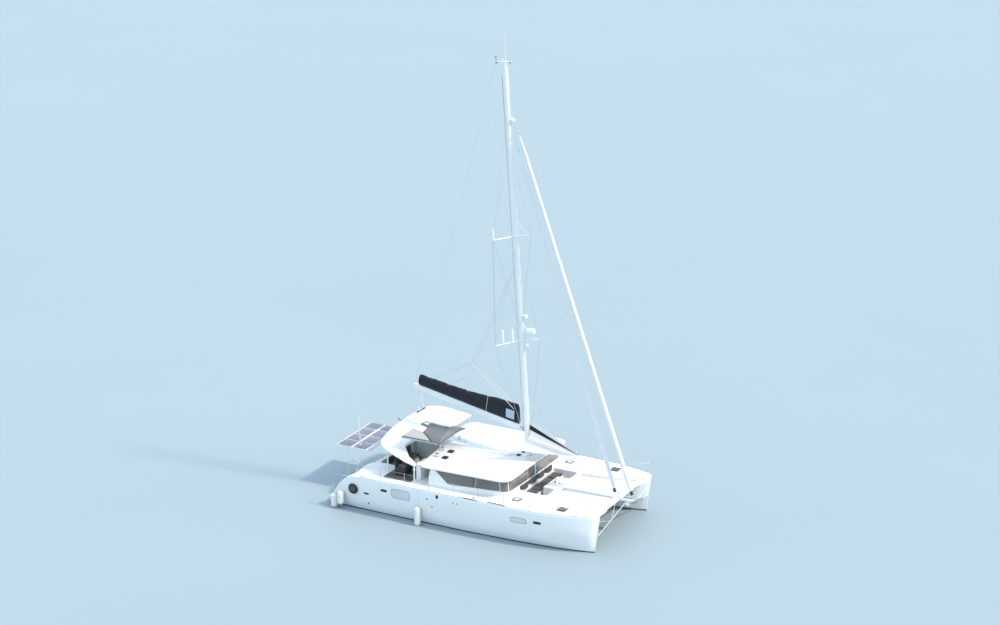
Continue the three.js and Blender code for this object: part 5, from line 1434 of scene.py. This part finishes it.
def guardrails():
    """Stanchions with two wires, a pulpit round each bow and a rail at each quarter."""
    def at(x, up):
        y, z = deck_edge(x)
        return np.array([x, y, z + up])

    h = HULL_Y
    for side, sign in SIDES.items():
        tubes, wires = [], []
        for x in STANCHIONS:
            foot = at(x, 0.0005)
            tubes.append(bar([foot, at(x, 0.3), at(x, RAIL_HEIGHT)], [0.0145, 0.0135, 0.0125], 12))
            tubes.append(moved(lathe([(AXIS, -0.001), (0.038, -0.001), (0.038, 0.008), (0.02, 0.02), (0.018, 0.07),
                                      (AXIS, 0.07)], 14), foot))
            tubes.append(moved(lathe([(AXIS, -0.012), (0.016, -0.01), (0.016, 0.01), (AXIS, 0.014)], 10),
                               at(x, RAIL_HEIGHT)))
        for level in (0.5, 1):
            stops = [-5.15, *STANCHIONS, 5.2]
            wires.append(wire([at(x, RAIL_HEIGHT * level - 0.012) for x in stops], 0.005))
        tubes.append(bent([at(5.2, 0.0005), at(5.2, RAIL_HEIGHT), (6.5, h + 0.32, 2.43), (6.9, h, 2.44),
                           (6.5, h - 0.38, 2.43), (6.1, h - 0.52, 2.42), (6.1, h - 0.52, 1.792)], 0.014, 12))
        tubes.append(stick((6.5, h + 0.32, 2.43), (6.5, h + 0.32, 1.804), 0.014, sides=12))
        tubes.append(stick(at(5.2, 0.34), (6.5, h + 0.32, 2.11), 0.01, sides=10))
        tubes.append(bent([at(-5.15, 0.0005), at(-5.15, RAIL_HEIGHT), at(-5.7, RAIL_HEIGHT + 0.06),
                           (-5.7, h + 0.3, 2.3), (-5.48, h + 0.3, 2.25), (-5.48, h + 0.56, 1.727)], 0.014, 12))
        tubes.append(stick(at(-5.7, 0.002), at(-5.7, RAIL_HEIGHT + 0.06), 0.014, sides=12))
        piece(f"rail_tubes_{side}", sided(joined(tubes), sign), STEEL, replaces=[f"guardrail_{side}"])
        piece(f"rail_wires_{side}", sided(joined(wires), sign), WIRE)


# Stern
PANEL = {"aft": -7.7, "fore": -6.03, "half": 1.6, "low": 2.1525, "high": 2.188}


def panel_rise(y):
    """The panel and its bars rise to port, 37.5 mm to the metre."""
    return (np.asarray(y) + PANEL["half"]) * 0.0375


def davits():
    """Two bent arms from the bridgedeck's aft edge, joined by two bars, with a tackle at each end."""
    arms, bars, caps, tackle = [], [], [], []
    for y in (-1.25, 1.25):
        level = 2.12 + panel_rise(y)
        arms.append(bent([(BRIDGE[0] + 0.06, y, DECK_Z + 0.001), (BRIDGE[0] - 0.2, y, DECK_Z + 0.25),
                          (-6.01, y, level), (-7.64, y, level)], 0.032, 18, corner=0.15))
        caps.append(bar([(-7.64, y, level), (-7.665, y, level)], [0.034, 0.026], 18))
        tackle.append(wire([(-7.3, y, level - 0.04), (-7.3, y, level - 0.5)], 0.006))
    for x in (-5.93, -7.4):
        bars.append(bar([(x, y, 2.12 + panel_rise(y)) for y in (-1.5, 0, 1.5)], 0.025, 16))
    feet = [moved(slab(oval(-0.03), 0, 0.012, 0.004), (BRIDGE[0] + 0.06, y, DECK_Z)) for y in (-1.25, 1.25)]
    piece("davit_tubes", joined([*arms, *bars, *caps, *feet]), STEEL, replaces=["davits"])
    piece("davit_tackle", joined(tackle), ROPE)


def solar_panel():
    """Eight framed panels, two rows of four, on rails over the davits."""
    p = PANEL
    rows, columns, gap = 2, 4, 0.02
    wide = (p["fore"] - p["aft"] - gap * (rows - 1)) / rows
    across = (2 * p["half"] - gap * (columns - 1)) / columns
    cells, rims = [], []
    for i in range(rows):
        for j in range(columns):
            x0, y0 = p["aft"] + i * (wide + gap), -p["half"] + j * (across + gap)
            cells.append(block((x0 + 0.03, y0 + 0.008, p["high"] - 0.03), (x0 + wide - 0.03, y0 + across - 0.008,
                                                                         p["high"] - 0.004), 0.004, 0.001))
            ring = rectangle(x0, x0 + wide, y0, y0 + across, 0.012, 3)
            middle = ring.mean(axis=0)
            inner = middle + (ring - middle) * [1 - 0.09 / wide, 1 - 0.024 / across]
            rims.append(tube_loop(np.swapaxes(np.array([
                np.column_stack([r, np.full(len(ring), z)]) for r, z in (
                    (ring, p["high"] - 0.035), (ring, p["high"] - 0.002), (inset(ring, 0.002), p["high"]),
                    (inner, p["high"]), (inner, p["high"] - 0.035))]), 0, 1)))

    def tilted(part):
        points = np.array(part[0], float)
        points[:, 2] += panel_rise(points[:, 1])
        return points, part[1]

    piece("solar_cells_plate", tilted(joined(cells)), CELLS, replaces=["solar_panel"])
    piece("solar_frames", tilted(joined(rims)), ALLOY)


def stern_antenna():
    foot, head = np.array([-6.59, -1.22, 2.189 + panel_rise(-1.22)]), np.array([-6.692, -1.227, 3.827])
    rod = stick(foot, head, 0.036, 0.014, 12)
    socket = moved(lathe([(AXIS, 0), (0.06, 0), (0.06, 0.01), (0.042, 0.02), (0.04, 0.12), (AXIS, 0.12)], 16), foot)
    top = moved(lathe([(AXIS, 0), (0.016, 0.0), (0.018, 0.05), (0.01, 0.088), (AXIS, 0.09)], 16),
                head - [0, 0, 0.09])
    piece("stern_antenna_rod", joined([rod, socket, top]), PLASTIC, replaces=["stern_antenna"])


# Under water
DRIVE_X, SHAFT_Z, RUDDER_X = -4.56, -0.98, -6.05


def foil(aft, fore, thick, z, count=36):
    """A fin's section: half thickness = 2.97 √s − 1.26 s − 3.52 s² + 2.84 s³ − 1.04 s⁴ times a share of the width."""
    t = np.linspace(0, 2 * np.pi, count, endpoint=False)
    s = (1 - np.cos(t)) / 2
    half = (2.97 * np.sqrt(s) - 1.26 * s - 3.52 * s**2 + 2.84 * s**3 - 1.04 * s**4) * thick / 2
    x = fore - (fore - aft) * s
    return np.column_stack([x, HULL_Y + np.where(t < np.pi, -half, half), np.full(count, z)])


def underwater():
    """Keels, drive legs with their pods, rudders on stocks, and the propellers."""
    for side, sign in SIDES.items():
        keel = [foil(-1.5 + 0.35 * f, 1.7 - 0.45 * f, 0.23 - 0.04 * f, -0.44 - 0.85 * f) for f in np.linspace(0, 1, 9)]
        keel += [foil(-1.14, 1.24, 0.16, -1.3)]
        piece(f"keel_skin_{side}", sided(outward(*skin(keel)), sign), ANTIFOUL, replaces=[f"keel_{side}"])
        leg = [foil(-4.73 + 0.03 * f, -4.39 - 0.03 * f, 0.11 - 0.02 * f, -0.38 - 0.6 * f) for f in np.linspace(0, 1, 7)]
        pod = turned(lathe([(AXIS, -0.3), (0.03, -0.28), (0.06, -0.22), (0.078, -0.12), (0.08, 0.0), (0.08, 0.12),
                            (0.078, 0.21), (AXIS, 0.21)], 28), about("y", -math.pi / 2))
        pod = moved(pod, (DRIVE_X, HULL_Y, SHAFT_Z))
        piece(f"drive_leg_{side}", sided(joined([outward(*skin(leg)), pod]), sign), ENGINE,
              replaces=[f"saildrive_{side}"])
        blade = [foil(-0.72 * 0.43 + 0.043 * f - 6.05, 0.28 * 0.43 - 0.026 * f - 6.05, 0.08 - 0.03 * f,
                      -0.33 - 0.88 * f) for f in np.linspace(0, 1, 9)]
        blade += [foil(-6.3, -5.97, 0.03, -1.23)]
        stock = moved(lathe([(AXIS, -0.43), (0.026, -0.43), (0.026, 0.05), (AXIS, 0.05)], 24), (RUDDER_X, HULL_Y, 0))
        piece(f"rudder_skin_{side}", sided(joined([outward(*skin(blade)), stock]), sign), ANTIFOUL,
              f"rudder_{side}", replaces=[f"rudder_{side}"])
        propeller(side, sign)


def propeller(side, sign):
    """Three twisted blades on a hub: the pitch angle falls and the chord swells and shrinks along each blade."""
    back = -0.2703
    hub = turned(lathe([(AXIS, -0.09), (0.015, -0.085), (0.04, -0.05), (0.06, 0.0), (0.068, 0.03), (0.0755, 0.0597),
                        (AXIS, 0.0597)], 28), about("y", math.pi / 2))
    r = np.linspace(0.045, 0.23, 14)
    s = (r - 0.045) / 0.185
    chord = 0.075 + 0.07 * np.sin(np.pi * s**0.9) * (1 - 0.3 * s)
    chord[-1] *= 0.45
    t = np.linspace(0, 2 * np.pi, 20, endpoint=False)
    angle = 0.95 - 0.5 * s
    flat, thin = np.cos(t)[None] * chord[:, None] / 2, np.sin(t)[None] * (0.008 - 0.004 * s)[:, None]
    rows = np.stack([flat * np.sin(angle)[:, None] * -1 + thin * np.cos(angle)[:, None],
                     flat * np.cos(angle)[:, None] + thin * np.sin(angle)[:, None],
                     np.broadcast_to(r[:, None], flat.shape)], axis=-1)
    rows[..., 0] *= 0.55
    blade = moved(outward(*skin(rows)), (0.012, 0, 0))
    parts = [hub] + [turned(blade, about("x", k * 2 * math.pi / 3)) for k in range(3)]
    screw = sided(moved(joined(parts), (back, 0, 0)), sign)
    piece(f"propeller_skin_{side}", moved(screw, (DRIVE_X, sign * HULL_Y, SHAFT_Z)), BRONZE,
          f"propeller_{side}", replaces=[f"propeller_{side}"])


def lids():
    """Engine lids and bow locker lids with round edges, and the engines' covers under them."""
    for side, sign in SIDES.items():
        l = ENGINE_LID
        lid = block((l["aft"] + 0.008, HULL_Y - l["half"] + 0.008, DECK_Z - 0.0397),
                    (l["fore"] - 0.008, HULL_Y + l["half"] - 0.008, DECK_Z), 0.045, 0.006)
        piece(f"engine_lid_skin_{side}", sided(lid, sign), GELCOAT, f"engine_lid_{side}",
              replaces=[f"engine_lid_{side}"])
        l = BOW_LID
        ring = block((l["aft"] + 0.006, HULL_Y - l["half"] + 0.006, 1.7453),
                     (l["fore"] - 0.006, HULL_Y + l["half"] - 0.006, 1.776), 0.045, 0.005)
        pane = block((l["aft"] + 0.24, HULL_Y - l["half"] + 0.05, 1.76),
                     (l["fore"] - 0.05, HULL_Y + l["half"] - 0.05, 1.778), 0.03, 0.003)
        piece(f"locker_lid_rim_{side}", sided(ring, sign), GELCOAT, f"locker_lid_{side}",
              replaces=[f"locker_lid_{side}"])
        piece(f"locker_lid_pane_{side}", sided(pane, sign), ACRYLIC, f"locker_lid_{side}",
              replaces=[f"locker_lid_{side}"])
        cover = [slab(rectangle(-5.24, -4.58, HULL_Y - 0.26, HULL_Y + 0.26, 0.06, 4), -0.1797, 0.22, 0.03),
                 slab(rectangle(-5.12, -4.7, HULL_Y - 0.16, HULL_Y + 0.16, 0.06, 4), 0.2, 0.42, 0.04),
                 bar([(-5.0, HULL_Y - 0.2, 0.3), (-4.75, HULL_Y - 0.2, 0.32)], 0.05, 16)]
        piece(f"engine_cover_{side}", sided(joined(cover), sign), ENGINE, replaces=[f"engine_{side}"])


def door():
    """The sliding door: a glass pane in an alloy frame with a handle, on its sill track."""
    x0, x1 = -1.798, -1.768
    y0, y1, z0, z1 = DOOR_Y[0] - 0.04, DOOR_Y[1] + 0.04, 0.976, 2.52
    frame_bars = [block(low, high, 0.008, 0.003) for low, high in (
        ((x0, y0, z0), (x1, y0 + 0.06, z1)), ((x0, y1 - 0.06, z0), (x1, y1, z1)),
        ((x0, y0, z0), (x1, y1, z0 + 0.07)), ((x0, y0, z1 - 0.06), (x1, y1, z1)))]
    handle = [bar([(x0 - 0.001, y0 + 0.03, 1.6), (x0 - 0.03, y0 + 0.03, 1.62), (x0 - 0.03, y0 + 0.03, 1.8),
                   (x0 - 0.001, y0 + 0.03, 1.82)], 0.008, 8)]
    piece("door_frame", joined(frame_bars + handle), BARE, "saloon_door", replaces=["saloon_door"])
    piece("door_glass", block((x0 + 0.01, y0 + 0.05, z0 + 0.06), (x1 - 0.008, y1 - 0.05, z1 - 0.05), 0.004, 0.001),
          TINTED, "saloon_door", replaces=["saloon_door"])


# Columns: name, place along the hull, radius, length.
FENDERS = [("fender_midship", -1.83, 0.15, 1.0), ("fender_quarter_fore", -6.04, 0.17, 0.76),
           ("fender_quarter_aft", -6.43, 0.17, 0.76)]
QUARTER_POST = -5.7


def hanging_gear():
    """Fenders on ropes against the hull, and the lifebuoy's round cover with a dark centre."""
    for name, x, r, length in FENDERS:
        low, high = (np.array(v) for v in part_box(name))
        centre, h = (low + high) / 2, length / 2
        dome = [(r * math.sin(t) * 0.999 + 0.0005, -h + 0.03 + (r * 0.85) * (1 - math.cos(t)))
                for t in np.linspace(0, np.pi / 2, 8)]
        profile = [(AXIS, -h), (0.03, -h), (0.034, -h + 0.03)] + [p for p in dome if p[0] > 0.034]
        profile += [(p[0], -p[1]) for p in profile[::-1]]
        piece(name + "_skin", moved(lathe(profile, 32), centre), VINYL, replaces=[name])
        y_rail, z_rail = deck_edge(max(x, QUARTER_POST))
        knot = [x, -y_rail - 0.02, z_rail + RAIL_HEIGHT * 0.5] if x > QUARTER_POST \
            else [QUARTER_POST, -y_rail, z_rail + 0.05]
        over = centre + [0, 0, h - 0.02]
        path = smooth([over, over + [0, 0, 0.15], [over[0], knot[1] - 0.07, z_rail - 0.05], knot], 6)
        piece(name + "_rope", bar(path, 0.007, 7), ROPE)
    low, high = (np.array(v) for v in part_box("lifebuoy"))
    centre, half = (low + high) / 2, (high[1] - low[1]) / 2
    disc = lathe([(AXIS, -half), (0.2, -half), (0.24, -half * 0.6), (0.26, 0), (0.24, half * 0.6), (0.2, half),
                  (AXIS, half)], 48)
    piece("lifebuoy_cover", moved(turned(disc, about("x", math.pi / 2)), centre), BLACK, replaces=["lifebuoy"])
    badge = lathe([(AXIS, 0), (0.135, 0), (0.14, 0.004), (0.13, 0.008), (AXIS, 0.01)], 40)
    piece("lifebuoy_centre", moved(turned(badge, about("x", math.pi / 2)), centre - [0, half, 0]), ACRYLIC)


# Small parts of the deck, the roofs and the topsides
def side_plate(x0, x1, z0, z1, out=0.006, rounding=0.22):
    """A rounded plate on the topsides: a square grid whose corners a square root draws in, laid on the hull."""
    u, v = np.meshgrid(np.linspace(-1, 1, 17), np.linspace(-1, 1, 11), indexing="ij")
    x = (x0 + x1) / 2 + (x1 - x0) / 2 * u * np.sqrt(1 - rounding * v**2)
    z = (z0 + z1) / 2 + (z1 - z0) / 2 * v * np.sqrt(1 - rounding * u**2)
    y = np.array([[hull_side(a, b) for a, b in zip(*row)] for row in zip(x, z)])
    return patch(np.dstack([x, y + out, z]), np.dstack([x, y - 0.03, z]))


# Columns: aft, fore, low, high.
HULL_WINDOWS = [(-3.29, -2.3, 1.08, 1.52), (2.98, 3.76, 1.12, 1.34)]
HULL_PORTS = [(-3.86, -3.52, 1.27, 1.4), (4.1, 4.48, 1.2, 1.33)]
# Columns: x, z, half length, half height.
THROUGH_HULLS = [(-4.68, 0.98, 0.16, 0.05), (-4.63, 0.46, 0.045, 0.045), (-1.36, 1.37, 0.035, 0.035),
                 (-0.83, 1.58, 0.07, 0.1), (-1.11, 1.02, 0.035, 0.035), (0.02, 1.44, 0.03, 0.03),
                 (0.23, 1.43, 0.03, 0.03)]


def topsides():
    """Portlights with dark surrounds, outlets through the hull and a toe rail along the sheer."""
    xs = np.linspace(-5.1, 6.7, 90)
    table = eased(HULL_TABLE, xs)
    rail = np.column_stack([xs, HULL_Y + table[:, 0] - 0.03, table[:, 4] + 0.012])
    for side, sign in SIDES.items():
        rims = [side_plate(x0 - 0.02, x1 + 0.02, z0 - 0.02, z1 + 0.02, 0.004) for x0, x1, z0, z1 in HULL_WINDOWS]
        piece(f"portlight_rims_{side}", sided(joined(rims), sign), WINDOW_FRAME)
        piece(f"portlights_{side}", sided(joined([side_plate(*w) for w in HULL_WINDOWS]), sign), PALE_SKY_GLASS)
        outlets = [side_plate(x - a, x + a, z - b, z + b, 0.006, 0.5) for x, z, a, b in THROUGH_HULLS]
        outlets += [side_plate(*p) for p in HULL_PORTS]
        piece(f"hull_outlets_{side}", sided(joined(outlets), sign), BLACK)
        piece(f"toe_rail_{side}", sided(bar(rail, 0.016, 8), sign), BARE)


def cleat(x, y, z, turn=0.0):
    """A bar with two horns on two feet."""
    parts = [bar([(-0.13, 0, 0.05), (-0.06, 0, 0.045), (0.06, 0, 0.045), (0.13, 0, 0.05)], 0.014, 10),
             stick((-0.045, 0, -0.001), (-0.045, 0, 0.045), 0.016), stick((0.045, 0, -0.001), (0.045, 0, 0.045), 0.016)]
    return moved(turned(joined(parts), about("z", turn)), (x, y, z))


def winch(x, y, z):
    body = lathe([(AXIS, -0.002), (0.085, -0.002), (0.08, 0.015), (0.055, 0.03), (0.05, 0.1), (0.062, 0.125),
                  (0.07, 0.13), (0.07, 0.14), (0.05, 0.145), (0.066, 0.15), (0.066, 0.165), (0.03, 0.17),
                  (AXIS, 0.17)], 24)
    return moved(body, (x, y, z))


def deck_gear():
    """Hatches, cleats, genoa tracks, winches, clutches and the lines' organiser by the mast."""
    for side, sign in SIDES.items():
        h = HULL_Y
        rim = slab(rectangle(2.55, 2.95, h - 0.31, h + 0.09, 0.06), DECK_Z - 0.001, DECK_Z + 0.022, 0.008)
        pane = slab(rectangle(2.63, 2.87, h - 0.23, h + 0.01, 0.04), DECK_Z + 0.01, DECK_Z + 0.027, 0.004)
        piece(f"deck_hatch_rim_{side}", sided(rim, sign), WINDOW_FRAME)
        piece(f"deck_hatch_pane_{side}", sided(pane, sign), PALE_SKY_GLASS)
        cleats = [cleat(6.0, h + 0.5, 1.795, -0.3), cleat(0.35, h + 0.93, DECK_Z), cleat(-4.9, h + 0.9, DECK_Z)]
        piece(f"cleats_{side}", sided(joined(cleats), sign), STEEL)
        tracks = [slab(rectangle(x0, x1, y - 0.02, y + 0.02, 0.008), DECK_Z - 0.001, DECK_Z + 0.03, 0.006)
                  for x0, x1, y in ((0.5, 1.2, h + 0.94), (1.72, 2.62, h + 0.86))]
        piece(f"sheet_tracks_{side}", sided(joined(tracks), sign), BLACK)
    roof_gear = [winch(x, y, roof_top(x, y)) for x, y in ((-1.95, -1.35), (-1.85, -2.1), (-1.95, 0.3))]
    piece("winches", joined(roof_gear), STEEL)
    clutches = [block((x - 0.13, y - 0.13, roof_top(x, y) - 0.01), (x + 0.13, y + 0.13, roof_top(x, y) + 0.07),
                      0.02, 0.015) for x, y in ((-1.5, -1.35), (-1.4, -2.1))]
    clutches.append(block((1.45, -0.36, roof_top(0, 0.3) - 0.02), (1.62, -0.14, roof_top(0, 0.2) + 0.05), 0.02, 0.01))
    clutches.append(block((1.48, 0.14, roof_top(0, 0.3) - 0.02), (1.62, 0.3, roof_top(0, 0.2) + 0.05), 0.02, 0.01))
    piece("clutches", joined(clutches), BLACK)
    lines = [wire([(x0, y0, roof_top(0, y0) + 0.03), (x1, y1, roof_top(0, y1) + 0.03)], 0.006)
             for x0, y0, x1, y1 in ((1.46, -0.2, -1.37, -1.3), (1.46, -0.25, -1.37, -1.38), (1.46, -0.3, -1.27, -2.05),
                                    (1.46, -0.34, -1.27, -2.15))]
    piece("led_lines", joined(lines), ROPE)
    piece("roof_stub", stick((-5.52, 0.95, HARDTOP_TOP - 0.045), (-5.95, 1.3, HARDTOP_TOP - 0.03), 0.022), BLACK)


studio()
hulls()
bridgedeck()
cabin()
windows()
roof()
hardtop()
helm()
helm_canopy()
cushions()
mast()
spreaders()
masthead()
radar()
headsails()
boom()
sail_bag()
awning()
standing_rigging()
running_rigging()
fore_frame()
trampolines()
ground_tackle()
guardrails()
davits()
solar_panel()
stern_antenna()
underwater()
lids()
door()
hanging_gear()
topsides()
deck_gear()

# Every CAD node that still shows gets its material.
CAD_LOOKS = {
    "hull": HULL, "keel": ANTIFOUL, "saildrive": ENGINE, "engine_lid": GELCOAT, "engine": ENGINE, "propeller": BRONZE,
    "rudder": ANTIFOUL, "locker_lid": ACRYLIC, "bridgedeck": GELCOAT, "cabin_walls": GELCOAT, "window": TINTED,
    "cabin_roof": GELCOAT, "door_sill": BARE, "saloon_door": TINTED, "hardtop": GELCOAT,
    "cockpit_settee": CUSHION, "helm_console": GELCOAT, "helm_seat": GELCOAT, "steering_wheel": BLACK,
    "canopy_frame": STEEL, "helm_canopy": GREY, "crossbeam_frame": ALLOY, "trampoline": NET,
    "windlass": STEEL, "anchor": STEEL, "guardrail": STEEL, "davits": STEEL, "solar_panel": CELLS,
    "stern_antenna": PLASTIC, "mast_step": STEEL, "masthead_crane": ALLOY, "mast": ALLOY, "spreaders": ALLOY,
    "radar_dome": PLASTIC, "cap_shroud": WIRE, "headsail": SAILCLOTH, "gooseneck": STEEL, "boom": ALLOY,
    "sail_bag": NAVY, "awning": AWNING_WHITE, "fender": VINYL, "lifebuoy": BLACK,
}
for node_name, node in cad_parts.items():
    look = next(m for prefix, m in CAD_LOOKS.items() if node_name.startswith(prefix))
    node.data.materials.clear()
    node.data.materials.append(look)
